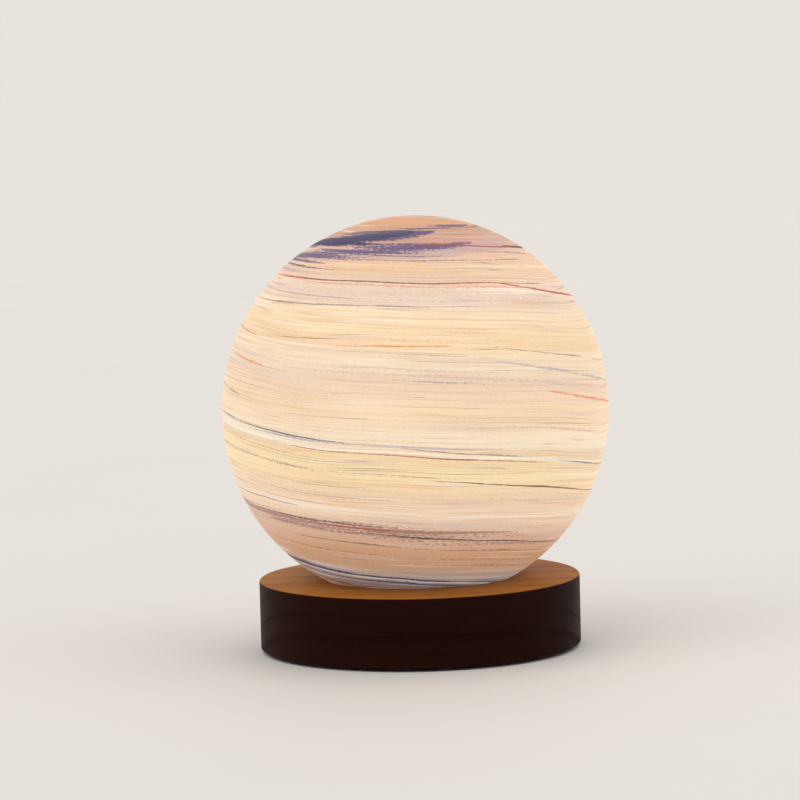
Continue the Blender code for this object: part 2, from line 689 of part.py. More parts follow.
def make_bulb():
    """The capsule bulb: cap, two pins, light board and frosted cover, all under one empty."""
    lift = bpy.data.objects.new("bulb_frame", None)
    PARTS.objects.link(lift)
    lift.location = (0.0, 0.0, BULB_BOTTOM)
    spigot_radius = BULB_RADIUS - BULB_COVER_WALL - GAP
    spigot_top = BULB_CAP_HEIGHT + BULB_SPIGOT_HEIGHT
    cap_profile = [
        (0.0, spigot_top),
        (spigot_radius, spigot_top),
        (spigot_radius, BULB_CAP_HEIGHT),
        (BULB_RADIUS, BULB_CAP_HEIGHT),
        (BULB_RADIUS, BULB_CAP_EDGE),
        (BULB_RADIUS - BULB_CAP_EDGE, 0.0),
        (0.0, 0.0),
    ]
    cap = turned("bulb_cap", cap_profile, "white_plastic", SMALL_STEPS)
    for n, side in enumerate((-1, 1), 1):
        root = PIN_ROOT + GAP
        hole = rod(f"pin_root_{n}", PIN_RADIUS + GAP, -CUT_OVERRUN, root, None, SCREW_STEPS)
        boolean(cap, place(hole, (side * PIN_SPACING / 2, 0.0, 0.0)))
        pin = rod(f"bulb_pin_{n}", PIN_RADIUS, -PIN_LENGTH, PIN_ROOT, "zinc_steel", SCREW_STEPS)
        place(pin, (side * PIN_SPACING / 2, 0.0, 0.0), parent=lift)
    place(settle(cap), parent=lift)
    inner = BULB_RADIUS - BULB_COVER_WALL
    dome = BULB_LENGTH - BULB_RADIUS
    foot = BULB_CAP_HEIGHT + GAP
    cover_profile = arc((0.0, dome), BULB_RADIUS, math.pi / 2, 0.0, DOME_ARC_POINTS)
    cover_profile += [(BULB_RADIUS, foot), (inner, foot)]
    cover_profile += arc((0.0, dome), inner, 0.0, math.pi / 2, DOME_ARC_POINTS)
    cover_profile[0] = (0.0, BULB_LENGTH)
    cover_profile[-1] = (0.0, BULB_LENGTH - BULB_COVER_WALL)
    place(turned("bulb_cover", cover_profile, "frosted_plastic", SMALL_STEPS), parent=lift)
    make_light_board(spigot_top + GAP, lift)


def make_light_board(foot, lift):
    """The upright board in the bulb, with rows of light chips on both its faces."""
    middle = foot + BOARD_HEIGHT / 2
    board_size = (BOARD_WIDTH, BOARD_THICKNESS, BOARD_HEIGHT)
    board = block("led_board", board_size, (0.0, 0.0, middle), "white_plastic")
    depth = BOARD_THICKNESS + 2 * CHIP_THICKNESS
    pitch = BOARD_HEIGHT / CHIP_ROWS
    for n in range(CHIP_ROWS):
        height = foot + pitch * (n + 0.5)
        chip = block(f"light_chip_{n}", (CHIP_WIDTH, depth, CHIP_HEIGHT), (0.0, 0.0, height), None)
        boolean(board, chip, "UNION")
    place(settle(board), parent=lift)


def barrel_profile(bore_steps):
    """The outside that the socket and the switch share: a flange and a long barrel."""
    return [
        (bore_steps[0][0], PANEL_FACE),
        (FLANGE_RADIUS - FLANGE_EDGE, PANEL_FACE),
        (FLANGE_RADIUS, PANEL_FACE - FLANGE_EDGE),
        (FLANGE_RADIUS, GAP),
        (BARREL_RADIUS, GAP),
        (BARREL_RADIUS, -BARREL_LENGTH),
        (0.0, -BARREL_LENGTH),
    ]


def make_panel_nut(name, frame):
    nut = hex_nut(name, PANEL_NUT_ACROSS, PANEL_NUT_HEIGHT, BARREL_RADIUS + GAP, "zinc_steel")
    place(nut, (0.0, 0.0, -PANEL_WALL - GAP - PANEL_NUT_HEIGHT), parent=frame)


def make_terminal(name, offset, frame):
    """A solder pin that is rooted in the back of a barrel."""
    low = -BARREL_LENGTH - TERMINAL_REACH
    high = TERMINAL_ROOT - BARREL_LENGTH
    pin = rod(name, TERMINAL_RADIUS, low, high, "brass", SCREW_STEPS)
    place(pin, (0.0, offset, 0.0), parent=frame)


def terminal_hole(name, offset):
    high = TERMINAL_ROOT - BARREL_LENGTH + GAP
    low = -BARREL_LENGTH - CUT_OVERRUN
    hole = rod(name, TERMINAL_RADIUS + GAP, low, high, None, SCREW_STEPS)
    return place(hole, (0.0, offset, 0.0))


def make_jack(frame):
    """The socket: a bored barrel, the centre pin and the terminal of the sleeve."""
    floor = PANEL_FACE - JACK_BORE_DEPTH
    profile = barrel_profile([(JACK_BORE_RADIUS, PANEL_FACE)])[:-1]
    pin_hole = JACK_PIN_RADIUS + GAP
    profile += [(pin_hole, -BARREL_LENGTH), (pin_hole, floor), (JACK_BORE_RADIUS, floor)]
    body = turned("jack_body", profile, "black_plastic", SMALL_STEPS)
    boolean(body, terminal_hole("sleeve_terminal_hole", TERMINAL_OFFSET + PIN_RADIUS))
    place(settle(body), parent=frame)
    low = -BARREL_LENGTH - TERMINAL_REACH
    high = PANEL_FACE - JACK_PIN_SET_BACK
    place(rod("jack_pin", JACK_PIN_RADIUS, low, high, "brass", SCREW_STEPS), parent=frame)
    make_terminal("jack_sleeve_terminal", TERMINAL_OFFSET + PIN_RADIUS, frame)
    make_panel_nut("jack_nut", frame)


def make_switch(frame):
    """The push switch: a bored barrel with an inner lip that keeps the sprung button in."""
    floor = PANEL_FACE - SWITCH_BORE_DEPTH
    lip = PANEL_FACE - SWITCH_LIP
    profile = barrel_profile([(SWITCH_MOUTH_RADIUS, PANEL_FACE)])
    bore = [(0.0, floor), (SWITCH_BORE_RADIUS, floor), (SWITCH_BORE_RADIUS, lip), (SWITCH_MOUTH_RADIUS, lip)]
    profile = [*bore, *profile]
    body = turned("switch_body", profile, "black_plastic", SMALL_STEPS)
    for n, side in enumerate((-1, 1), 1):
        boolean(body, terminal_hole(f"switch_terminal_hole_{n}", side * TERMINAL_OFFSET))
        make_terminal(f"switch_terminal_{n}", side * TERMINAL_OFFSET, frame)
    place(settle(body), parent=frame)
    make_panel_nut("switch_nut", frame)
    make_button(lip - GAP, frame)
    make_switch_spring(floor + GAP, lip - GAP - BUTTON_SKIRT - GAP, frame)


def make_button(shoulder, frame):
    """The button: a domed cap through the mouth, a skirt behind the lip and a stem in the spring."""
    cap_radius = SWITCH_MOUTH_RADIUS - GAP
    skirt_radius = SWITCH_BORE_RADIUS - GAP
    top = PANEL_FACE + BUTTON_PROUD
    edge = (cap_radius - BUTTON_EDGE, top - BUTTON_EDGE)
    back = shoulder - BUTTON_SKIRT
    profile = [(0.0, top)]
    profile += arc(edge, BUTTON_EDGE, math.pi / 2, 0.0, BLEND_POINTS)
    profile += [
        (cap_radius, shoulder),
        (skirt_radius, shoulder),
        (skirt_radius, back),
        (BUTTON_STEM_RADIUS, back),
        (BUTTON_STEM_RADIUS, back - BUTTON_STEM_LENGTH),
        (0.0, back - BUTTON_STEM_LENGTH),
    ]
    place(turned("switch_button", profile, "black_plastic", SMALL_STEPS), parent=frame)


def make_switch_spring(low, high, frame):
    """A helical spring round the stem, from the floor of the bore to the skirt of the button."""
    start = low + SPRING_WIRE_RADIUS
    rise = high - SPRING_WIRE_RADIUS - start
    count = SPRING_TURNS * SPRING_TURN_POINTS + 1
    path = []
    for n in range(count):
        share = n / (count - 1)
        path.append(around(SPRING_COIL_RADIUS, 2 * math.pi * SPRING_TURNS * share, start + rise * share))
    spring = wire("switch_spring", path, SPRING_WIRE_RADIUS, "spring_steel", resolution=1)
    place(spring, parent=frame)


def make_cover():
    """The round cover in the rebate, with a countersunk hole for each screw."""
    profile = [
        (0.0, COVER_THICKNESS),
        (COVER_RADIUS, COVER_THICKNESS),
        (COVER_RADIUS, COVER_EDGE),
        (COVER_RADIUS - COVER_EDGE, 0.0),
        (0.0, 0.0),
    ]
    cover = turned("bottom_cover", profile, "black_plastic", BASE_STEPS)
    head_radius = SCREW_HEAD_RADIUS + GAP
    hole_radius = SCREW_SHANK_RADIUS + GAP
    cone = head_radius - hole_radius
    sink = [
        (0.0, COVER_THICKNESS + CUT_OVERRUN),
        (hole_radius, COVER_THICKNESS + CUT_OVERRUN),
        (hole_radius, cone),
        (head_radius, 0.0),
        (head_radius, -CUT_OVERRUN),
        (0.0, -CUT_OVERRUN),
    ]
    for n, azimuth in enumerate(evenly(COVER_SCREW_COUNT, COVER_SCREW_TURN)):
        hole = turned(f"countersink_{n}", sink, None, SCREW_STEPS)
        boolean(cover, place(hole, around(COVER_SCREW_CIRCLE, azimuth)))
    settle(cover)
    place(cover, (0.0, 0.0, COVER_BOTTOM))


def make_cover_screws():
    """Countersunk screws that hold the cover to the wood, driven from below."""
    cone = SCREW_HEAD_RADIUS - SCREW_SHANK_RADIUS
    profile = [
        (0.0, SCREW_LENGTH),
        (SCREW_SHANK_RADIUS, SCREW_LENGTH - SCREW_POINT),
        (SCREW_SHANK_RADIUS, cone),
        (SCREW_HEAD_RADIUS, 0.0),
        (0.0, 0.0),
    ]
    for n, azimuth in enumerate(evenly(COVER_SCREW_COUNT, COVER_SCREW_TURN), 1):
        screw = turned(f"cover_screw_{n}", profile, "zinc_steel", SCREW_STEPS)
        for blade in cross_recess(screw.name + "_recess", 0.0, 1):
            boolean(screw, blade)
        settle(screw)
        place(screw, around(COVER_SCREW_CIRCLE, azimuth, COVER_BOTTOM), azimuth)


def make_feet():
    """Soft round feet under the cover."""
    edge = (FOOT_RADIUS - FOOT_EDGE, FOOT_EDGE)
    profile = [(0.0, FOOT_HEIGHT), (FOOT_RADIUS, FOOT_HEIGHT)]
    profile += arc(edge, FOOT_EDGE, 0.0, -math.pi / 2, BLEND_POINTS)
    profile += [(0.0, 0.0)]
    for n, azimuth in enumerate(evenly(FOOT_COUNT, 0.0), 1):
        foot = turned(f"foot_{n}", profile, "soft_rubber", PIECE_STEPS)
        place(foot, around(FOOT_CIRCLE, azimuth))


def behind(azimuth, offset, further):
    """A point behind a terminal: further towards the middle of the base by the given length."""
    radius = PANEL_SEAT - BARREL_LENGTH - TERMINAL_REACH - GAP - further
    inward = Vector(around(radius, azimuth, PANEL_HEIGHT))
    sideways = Vector((-math.sin(azimuth), math.cos(azimuth), 0.0))
    return inward + offset * sideways


def up_the_column(azimuth, offset, side):
    """A wire from a terminal, over the cover, up the bore of the column to a contact."""
    floor = COVER_TOP + WIRE_RADIUS + WIRE_FLOOR_CLEARANCE
    start = behind(azimuth, offset, 0.0)
    lead = behind(azimuth, offset, WIRE_LEAD)
    foot = Vector((side * WIRE_SPREAD, 0.0, floor))
    dip = lead.lerp(foot, WIRE_DIP_SHARE)
    dip.z = (floor + PANEL_HEIGHT) / 2
    near = lead.lerp(foot, WIRE_LANDING_SHARE)
    near.z = floor
    bend = foot.lerp(near, WIRE_BEND_SHARE)
    bend.z = floor + WIRE_RADIUS
    mouth = Vector((side * WIRE_SPREAD, 0.0, COLUMN_BOTTOM))
    middle = Vector((side * WIRE_SPREAD, 0.0, (COLUMN_BOTTOM + COLUMN_TOP) / 2))
    top = Vector((side * WIRE_SPREAD, 0.0, COLUMN_TOP))
    end = Vector((side * PIN_SPACING / 2, 0.0, CONTACT_BOTTOM - GAP))
    return smooth_path([start, lead, dip, near, bend, mouth, middle, top, end], WIRE_POINTS)


def make_wires():
    """Three wires: socket to switch, switch to bulb and bulb back to socket."""
    start = behind(JACK_AZIMUTH, 0.0, 0.0)
    lead = behind(JACK_AZIMUTH, 0.0, WIRE_LEAD)
    end = behind(SWITCH_AZIMUTH, TERMINAL_OFFSET, 0.0)
    tail = behind(SWITCH_AZIMUTH, TERMINAL_OFFSET, WIRE_LEAD)
    middle = (lead + tail) / 2
    middle.y -= WIRE_LEAD / 2
    across = smooth_path([start, lead, middle, tail, end], WIRE_POINTS)
    wire("wire_jack_to_switch", across, WIRE_RADIUS, "red_wire")
    from_switch = up_the_column(SWITCH_AZIMUTH, -TERMINAL_OFFSET, 1)
    wire("wire_switch_to_bulb", from_switch, WIRE_RADIUS, "red_wire")
    from_jack = up_the_column(JACK_AZIMUTH, TERMINAL_OFFSET + PIN_RADIUS, -1)
    wire("wire_jack_to_bulb", from_jack, WIRE_RADIUS, "black_wire")


clear_scene()
PARTS = new_collection("globe_table_lamp")
CUTTERS = new_collection("cutters")
CUTTERS.hide_render = True
jack_frame = panel_frame("jack_frame", JACK_AZIMUTH)
switch_frame = panel_frame("switch_frame", SWITCH_AZIMUTH)
make_base([jack_frame, switch_frame])
make_globe()
make_gasket()
make_carrier()
make_clips()
make_clip_screws()
make_column()
make_holder()
make_bulb()
make_jack(jack_frame)
make_switch(switch_frame)
make_cover()
make_cover_screws()
make_feet()
make_wires()
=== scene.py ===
# %% [markdown]
# # A globe table lamp
# The lamp is a blown glass globe, painted with long dry brush strokes, that sits in a low turned disc of
# walnut and glows from inside. The frame holds every piece in its real place and size, in metres. This
# lesson adds what the frame leaves out: smooth forms, paint, wood grain, metal, plastic and light.

import json
import math

import bmesh
import bpy
from mathutils import Matrix, Vector


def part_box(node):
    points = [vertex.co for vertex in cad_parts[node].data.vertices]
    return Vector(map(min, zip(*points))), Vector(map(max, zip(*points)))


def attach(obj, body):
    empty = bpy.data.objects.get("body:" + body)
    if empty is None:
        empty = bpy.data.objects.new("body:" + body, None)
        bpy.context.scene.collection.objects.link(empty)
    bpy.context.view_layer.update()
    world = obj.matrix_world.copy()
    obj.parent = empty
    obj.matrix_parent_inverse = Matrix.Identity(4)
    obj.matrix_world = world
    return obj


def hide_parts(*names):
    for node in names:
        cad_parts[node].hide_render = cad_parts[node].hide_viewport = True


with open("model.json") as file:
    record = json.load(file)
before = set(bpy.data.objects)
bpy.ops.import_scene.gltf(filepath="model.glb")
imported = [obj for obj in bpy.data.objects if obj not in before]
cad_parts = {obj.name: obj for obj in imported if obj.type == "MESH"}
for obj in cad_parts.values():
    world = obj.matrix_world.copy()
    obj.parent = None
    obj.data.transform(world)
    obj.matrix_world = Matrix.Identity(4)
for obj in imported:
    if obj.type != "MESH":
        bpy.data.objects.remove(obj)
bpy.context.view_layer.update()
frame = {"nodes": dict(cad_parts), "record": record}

# %% [markdown]
# ## Sizes that the lesson shares
# A finish has to know where the piece is: paint is laid by height on the globe, and wood rings run through
# the disc. The sizes are read from the pieces themselves, so a changed frame still fits the finishes. Only
# the wall of the glass and a few edges are written here, because a box can't tell them.

# %% Read the sizes
globe_low, globe_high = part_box("glass_globe")
base_low, base_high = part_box("wood_base")
globe_radius = (globe_high.x - globe_low.x) / 2
globe_centre = globe_high.z - globe_radius
base_radius = (base_high.y - base_low.y) / 2
base_top = base_high.z
print(f"globe {globe_radius * 2000:.1f} mm across, its middle {globe_centre * 1000:.1f} mm up")
print(f"base {base_radius * 2000:.1f} mm across, its top {base_top * 1000:.1f} mm up")

# %% [markdown]
# ## The camera
# A long lens from a little above keeps the globe round and shows a thin ellipse of the base's flat top.
# The lens stands 1.3 m away, looks down by nearly five degrees and is tipped a little, so that the lamp
# leans by the same small angle as it does in a hand-held picture.

# %% Set up the camera
CAMERA_TARGET = Vector((-0.00587, 0.0, 0.09659))
CAMERA_DISTANCE = 1.3
CAMERA_DROP = math.radians(4.83)
CAMERA_ROLL = math.radians(-1.43)
LENS_MM = 150.8
SENSOR_MM = 36.0

ahead = Vector((0.0, math.cos(CAMERA_DROP), -math.sin(CAMERA_DROP)))
above = Vector((0.0, math.sin(CAMERA_DROP), math.cos(CAMERA_DROP)))
right = math.cos(CAMERA_ROLL) * Vector((1.0, 0.0, 0.0)) + math.sin(CAMERA_ROLL) * above
upward = right.cross(ahead)
lens = bpy.data.cameras.new("lens")
lens.lens = LENS_MM
lens.sensor_width = SENSOR_MM
camera = bpy.data.objects.new("camera", lens)
bpy.context.scene.collection.objects.link(camera)
place = CAMERA_TARGET - CAMERA_DISTANCE * ahead
turn = [[right[i], upward[i], -ahead[i], place[i]] for i in range(3)]
camera.matrix_world = Matrix((*turn, (0.0, 0.0, 0.0, 1.0)))
bpy.context.scene.camera = camera
print("camera at", [round(v, 3) for v in place])

# %% [markdown]
# ## A way to mix materials
# A finish is a small network of nodes. Written out one by one, the nodes hide the idea, so each finish here
# is a recipe: a thin helper that adds a node, joins it up and hands back its output. The recipe still
# makes plain Blender nodes, which can be opened and changed in the shader editor.

# %% Recipe for a material
def colour(red, green, blue):
    """A colour as a paint chart gives it, from 0 to 255, turned into the light that Blender works with."""
    light = []
    for part in (red, green, blue):
        share = part / 255
        light.append(share / 12.92 if share <= 0.04045 else ((share + 0.055) / 1.055) ** 2.4)
    return (*light, 1.0)


class Recipe:
    """A material that is being mixed, one node at a time."""

    def __init__(self, name, tree=None):
        if tree is None:
            self.material = bpy.data.materials.new(name)
            self.material.use_nodes = True
            tree = self.material.node_tree
            self.shader = tree.nodes["Principled BSDF"]
        self.tree = tree

    def feed(self, socket, value):
        """Links a socket to another node's output, or sets it to a plain value."""
        if isinstance(value, bpy.types.NodeSocket):
            self.tree.links.new(value, socket)
        else:
            socket.default_value = value

    def add(self, kind, output=0, **inputs):
        """Adds a node, fills its inputs by their names and hands back one of its outputs."""
        made = self.tree.nodes.new(kind)
        for name, value in inputs.items():
            self.feed(made.inputs[name.replace("_", " ")], value)
        return made.outputs[output]

    def place_on(self):
        """Where a point is on the piece, in metres from the piece's own origin."""
        return self.add("ShaderNodeTexCoord", "Object")

    def parts_of(self, vector):
        """The x, y and z of a vector, each on its own."""
        made = self.tree.nodes.new("ShaderNodeSeparateXYZ")
        self.feed(made.inputs[0], vector)
        return made.outputs[0], made.outputs[1], made.outputs[2]

    def join(self, x, y, z):
        """A vector made of three values."""
        return self.add("ShaderNodeCombineXYZ", X=x, Y=y, Z=z)

    def stretch(self, vector, scale, shift=(0.0, 0.0, 0.0)):
        """Scales and shifts the places at which a pattern is read."""
        return self.add("ShaderNodeMapping", Vector=vector, Scale=scale, Location=shift)

    def calc(self, operation, *values, clamp=False):
        """One step of arithmetic."""
        made = self.tree.nodes.new("ShaderNodeMath")
        made.operation = operation
        made.use_clamp = clamp
        for socket, value in zip(made.inputs, values):
            self.feed(socket, value)
        return made.outputs[0]

    def remap(self, value, low, high, new_low=0.0, new_high=1.0, smooth=True):
        """Carries a value from one range to another and stops at its ends."""
        made = self.tree.nodes.new("ShaderNodeMapRange")
        made.interpolation_type = "SMOOTHSTEP" if smooth else "LINEAR"
        for socket, given in zip(made.inputs, (value, low, high, new_low, new_high)):
            self.feed(socket, given)
        return made.outputs[0]

    def noise(self, vector, scale, detail=2.0, roughness=0.5):
        """Cloudy noise round a half. More detail adds finer layers, and roughness makes them stronger."""
        values = {"Vector": vector, "Scale": scale, "Detail": detail, "Roughness": roughness}
        return self.add("ShaderNodeTexNoise", **values)

    def ramp(self, value, stops):
        """Reads a colour off a strip. stops are pairs of a place on the strip and a colour there."""
        made = self.tree.nodes.new("ShaderNodeValToRGB")
        strip = made.color_ramp
        strip.elements[0].position = stops[0][0]
        strip.elements[0].color = stops[0][1]
        strip.elements[1].position = stops[-1][0]
        strip.elements[1].color = stops[-1][1]
        for position, chosen in stops[1:-1]:
            strip.elements.new(position).color = chosen
        self.feed(made.inputs[0], value)
        return made.outputs[0]

    def blend(self, share, below, above, mode="MIX"):
        """Lays one colour over another. The share says how much of the upper one counts."""
        made = self.tree.nodes.new("ShaderNodeMix")
        made.data_type = "RGBA"
        made.blend_type = mode
        self.feed(made.inputs[0], share)
        self.feed(made.inputs[6], below)
        self.feed(made.inputs[7], above)
        return made.outputs[2]

    def relief(self, height, distance, strength=1.0):
        """A shallow relief: height from 0 to 1 stands for distance in metres."""
        return self.add("ShaderNodeBump", Height=height, Distance=distance, Strength=strength)

    def coat(self, **sockets):
        """Sets or links the sockets of the shader itself."""
        for name, value in sockets.items():
            self.feed(self.shader.inputs[name.replace("_", " ")], value)
        return self.material


print("recipe helper ready")

# %% [markdown]
# ## Floor, air and lamps
# The lamp stands on a plain pale floor in a pale room. Three wide soft lamps light it from the left, the
# right and the back, and the air fills the shadows. Together they are about as bright as daylight on white
# paper, so a colour looks as it was mixed, and the globe's own glow is only a part of what is seen on it.

# %% Lay the floor and light the room
FLOOR_HALF = 6.0
AIR_LIGHT = (0.62, 0.62, 0.63, 1.0)
AIR_SEEN = colour(231, 227, 221)
mesh = bpy.data.meshes.new("floor")
sheet = bmesh.new()
bmesh.ops.create_grid(sheet, x_segments=8, y_segments=8, size=FLOOR_HALF)
sheet.to_mesh(mesh)
sheet.free()
floor = bpy.data.objects.new("floor", mesh)
bpy.context.scene.collection.objects.link(floor)

recipe = Recipe("pale_floor")
where = recipe.place_on()
cloud = recipe.noise(where, 3.0, 4.0)
tone = recipe.ramp(cloud, [(0.3, colour(228, 224, 218)), (0.7, colour(230, 226, 220))])
floor.data.materials.append(recipe.coat(Base_Color=tone, Roughness=0.7))

world = bpy.data.worlds.new("room")
bpy.context.scene.world = world
world.use_nodes = True
room = Recipe("room", world.node_tree)
air = world.node_tree.nodes["Background"]
path = world.node_tree.nodes.new("ShaderNodeLightPath")
seen = room.calc("MAXIMUM", path.outputs["Is Camera Ray"], path.outputs["Is Glossy Ray"])
seen = room.calc("MAXIMUM", seen, path.outputs["Is Transmission Ray"])
room.feed(air.inputs["Color"], room.blend(seen, AIR_LIGHT, AIR_SEEN))


def soft_lamp(name, towards, strength, spread, tint):
    """A far soft lamp that lights the floor and the lamp evenly, from the direction given."""
    light = bpy.data.lights.new(name, "SUN")
    light.energy = strength
    light.angle = math.radians(spread)
    light.color = tint
    lamp = bpy.data.objects.new(name, light)
    bpy.context.scene.collection.objects.link(lamp)
    lamp.location = Vector(towards)
    lamp.rotation_euler = Vector(towards).to_track_quat("Z", "Y").to_euler()
    return lamp


soft_lamp("left_lamp", (-1.0, -0.9, 1.6), 0.75, 50, (1.0, 0.98, 0.95))
soft_lamp("right_lamp", (1.2, -0.5, 1.3), 0.45, 60, (1.0, 0.98, 0.96))
soft_lamp("back_lamp", (0.3, 1.3, 1.5), 0.35, 60, (1.0, 0.98, 0.96))
bpy.context.scene.view_settings.view_transform = "Standard"
print("three lamps, pale floor and air")

# %% [markdown]
# ## Turning a round piece
# Glass is blown and spun and wood is turned on a lathe, so both start as one outline that is swept once
# round the middle. The outline is written as pairs of radius and height. Fine steps keep the silhouette
# smooth, and edges sharper than a set angle stay crisp while the rest is shaded as a curve.

# %% Lathe
SHARP_ANGLE = math.radians(28)
WELD_DISTANCE = 1e-6


def arc(centre, radius, start, end, count):
    """Points on an arc from the angle start to the angle end."""
    angles = [start + (end - start) * n / (count - 1) for n in range(count)]
    return [(centre[0] + radius * math.cos(a), centre[1] + radius * math.sin(a)) for a in angles]


def turned(name, outline, steps, closed=True):
    """A new object that is the outline turned once round Z. A closed outline returns to its start."""
    body = bmesh.new()
    corners = [body.verts.new((radius, 0.0, height)) for radius, height in outline]
    sides = [body.edges.new(pair) for pair in zip(corners, corners[1:])]
    if closed:
        sides.append(body.edges.new((corners[-1], corners[0])))
    middle = {"cent": (0, 0, 0), "axis": (0, 0, 1)}
    bmesh.ops.spin(body, geom=corners + sides, angle=2 * math.pi, steps=steps, use_merge=True, **middle)
    bmesh.ops.remove_doubles(body, verts=body.verts, dist=WELD_DISTANCE)
    bmesh.ops.recalc_face_normals(body, faces=body.faces)
    made = bpy.data.meshes.new(name)
    body.to_mesh(made)
    body.free()
    made.shade_smooth()
    made.set_sharp_from_angle(angle=SHARP_ANGLE)
    obj = bpy.data.objects.new(name, made)
    bpy.context.scene.collection.objects.link(obj)
    return obj


print("lathe ready")

# %% [markdown]
# ## The glass globe
# The globe is blown opal glass, three millimetres thick, that turns into a short neck with a fire-rounded
# lip. The painted outside and the plain opal inside are two finishes on one piece, so the faces are sorted
# by where they lie: those on the outer ball take the paint and all the others stay bare glass.

# %% Blow the globe
GLASS_WALL = 0.003
NECK_RADIUS = 0.033
NECK_BLEND = 0.0012
GLOBE_STEPS = 160
BALL_POINTS = 110
INNER_BALL_POINTS = 60
BLEND_POINTS = 8
INNER_BLEND_POINTS = 10
LIP_POINTS = 12
neck_end = globe_low.z

blend_reach = globe_radius + NECK_BLEND
blend_radius = NECK_RADIUS + NECK_BLEND
blend_middle = (blend_radius, -math.sqrt(blend_reach**2 - blend_radius**2))
blend_turn = math.atan2(blend_middle[1], blend_middle[0])
lip_middle = (NECK_RADIUS - GLASS_WALL / 2, neck_end - globe_centre + GLASS_WALL / 2)
outline = arc((0.0, 0.0), globe_radius, math.pi / 2, blend_turn, BALL_POINTS)
outline += arc(blend_middle, NECK_BLEND, blend_turn + math.pi, math.pi, BLEND_POINTS)[1:]
outline += arc(lip_middle, GLASS_WALL / 2, 0.0, -math.pi, LIP_POINTS)
inner_blend = NECK_BLEND + GLASS_WALL
outline += arc(blend_middle, inner_blend, math.pi, blend_turn + math.pi, INNER_BLEND_POINTS)
inner_ball = globe_radius - GLASS_WALL
outline += arc((0.0, 0.0), inner_ball, blend_turn, math.pi / 2, INNER_BALL_POINTS)[1:]
outline[0] = (0.0, globe_radius)
outline[-1] = (0.0, inner_ball)
globe = turned("painted_globe", outline, GLOBE_STEPS, closed=False)
globe.location = (0.0, 0.0, globe_centre)
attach(globe, "globe")
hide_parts("glass_globe")
print("globe of", len(globe.data.polygons), "faces")

# %% [markdown]
# ## One brush stroke
# The painter holds a half-dry brush against the turning glass. A stroke is long round the globe, thin from
# top to bottom, pointed at both ends, and split by the bristles where the paint runs out. One node group
# holds that idea, and every stroke is a copy of it with its own place, length, width and dryness.

# %% Brush stroke group
STROKE_TAPER = 0.6
STROKE_THINNEST = 0.00001
STROKE_END_FADE = 0.12
BRISTLES_DRY = -0.1
BRISTLES_FULL = 0.25


def stroke_group():
    """The brush stroke as a node group: nine values go in, and the thickness of the paint comes out."""
    group = bpy.data.node_groups.new("brush_stroke", "ShaderNodeTree")
    for name in ("Height", "Turn", "Bristles", "From", "To", "Start", "End", "Half Width", "Dryness"):
        group.interface.new_socket(name, in_out="INPUT", socket_type="NodeSocketFloat")
    group.interface.new_socket("Paint", in_out="OUTPUT", socket_type="NodeSocketFloat")
    given = group.nodes.new("NodeGroupInput").outputs
    taken = group.nodes.new("NodeGroupOutput").inputs
    brush = Recipe("brush_stroke", group)
    along = brush.remap(given["Turn"], given["From"], given["To"], smooth=False)
    middle = brush.remap(along, 0.0, 1.0, given["Start"], given["End"], smooth=False)
    left = brush.calc("SUBTRACT", 1.0, along)
    bulge = brush.calc("MULTIPLY", brush.calc("MULTIPLY", along, left), 4.0, clamp=True)
    width = brush.calc("MULTIPLY", given["Half Width"], brush.calc("POWER", bulge, STROKE_TAPER))
    width = brush.calc("MAXIMUM", width, STROKE_THINNEST)
    away = brush.calc("ABSOLUTE", brush.calc("SUBTRACT", given["Height"], middle))
    body = brush.calc("SUBTRACT", 1.0, brush.calc("DIVIDE", away, width))
    gaps = brush.calc("MULTIPLY", given["Bristles"], given["Dryness"])
    paint = brush.remap(brush.calc("SUBTRACT", body, gaps), BRISTLES_DRY, BRISTLES_FULL)
    ends = brush.remap(bulge, 0.0, STROKE_END_FADE)
    brush.feed(taken["Paint"], brush.calc("MULTIPLY", paint, ends))
    return group


BRUSH_STROKE = stroke_group()
print("brush stroke of", len(BRUSH_STROKE.nodes), "nodes")

# %% [markdown]
# ## The paint on the globe
# Under the strokes lies a wash of cream, peach and grey bands. The bands lean, a little lower on the right,
# and wander, so their height is bent by slow noise before the colour is read. Very flat, long noise gives
# the hair lines of the brush. The same colours are seen by daylight and glow from inside, so the pattern
# feeds both the base colour and the emission, each at only a part of its full strength.

# %% Bands of the wash
# Each band is its height on the globe, from -1 at the bottom to 1 at the top, and its colour.
# The lowest bands grow dark brown towards the neck: partly the paint's own dark bands and partly painted
# shade where the holder keeps the bulb's light off the bottom of the globe.
WASH_AND_LOW_SHADE = [
    (-1.0, (92, 46, 34)),
    (-0.90, (106, 70, 62)),
    (-0.86, (116, 96, 96)),
    (-0.80, (178, 162, 154)),
    (-0.75, (200, 160, 128)),
    (-0.69, (204, 156, 118)),
    (-0.62, (214, 170, 140)),
    (-0.56, (216, 176, 150)),
    (-0.50, (240, 208, 180)),
    (-0.44, (250, 222, 190)),
    (-0.37, (244, 212, 178)),
    (-0.31, (251, 222, 178)),
    (-0.23, (253, 230, 180)),
    (-0.15, (246, 217, 174)),
    (-0.10, (249, 228, 198)),
    (-0.05, (253, 233, 203)),
    (0.02, (251, 222, 184)),
    (0.11, (252, 222, 184)),
    (0.18, (247, 216, 186)),
    (0.24, (242, 214, 186)),
    (0.30, (248, 224, 194)),
    (0.37, (251, 225, 187)),
    (0.42, (248, 212, 168)),
    (0.49, (252, 224, 180)),
    (0.56, (254, 228, 188)),
    (0.62, (240, 213, 190)),
    (0.69, (240, 213, 188)),
    (0.735, (232, 198, 170)),
    (0.79, (244, 208, 166)),
    (0.85, (228, 186, 156)),
    (0.92, (190, 140, 122)),
    (1.0, (214, 150, 92)),
]
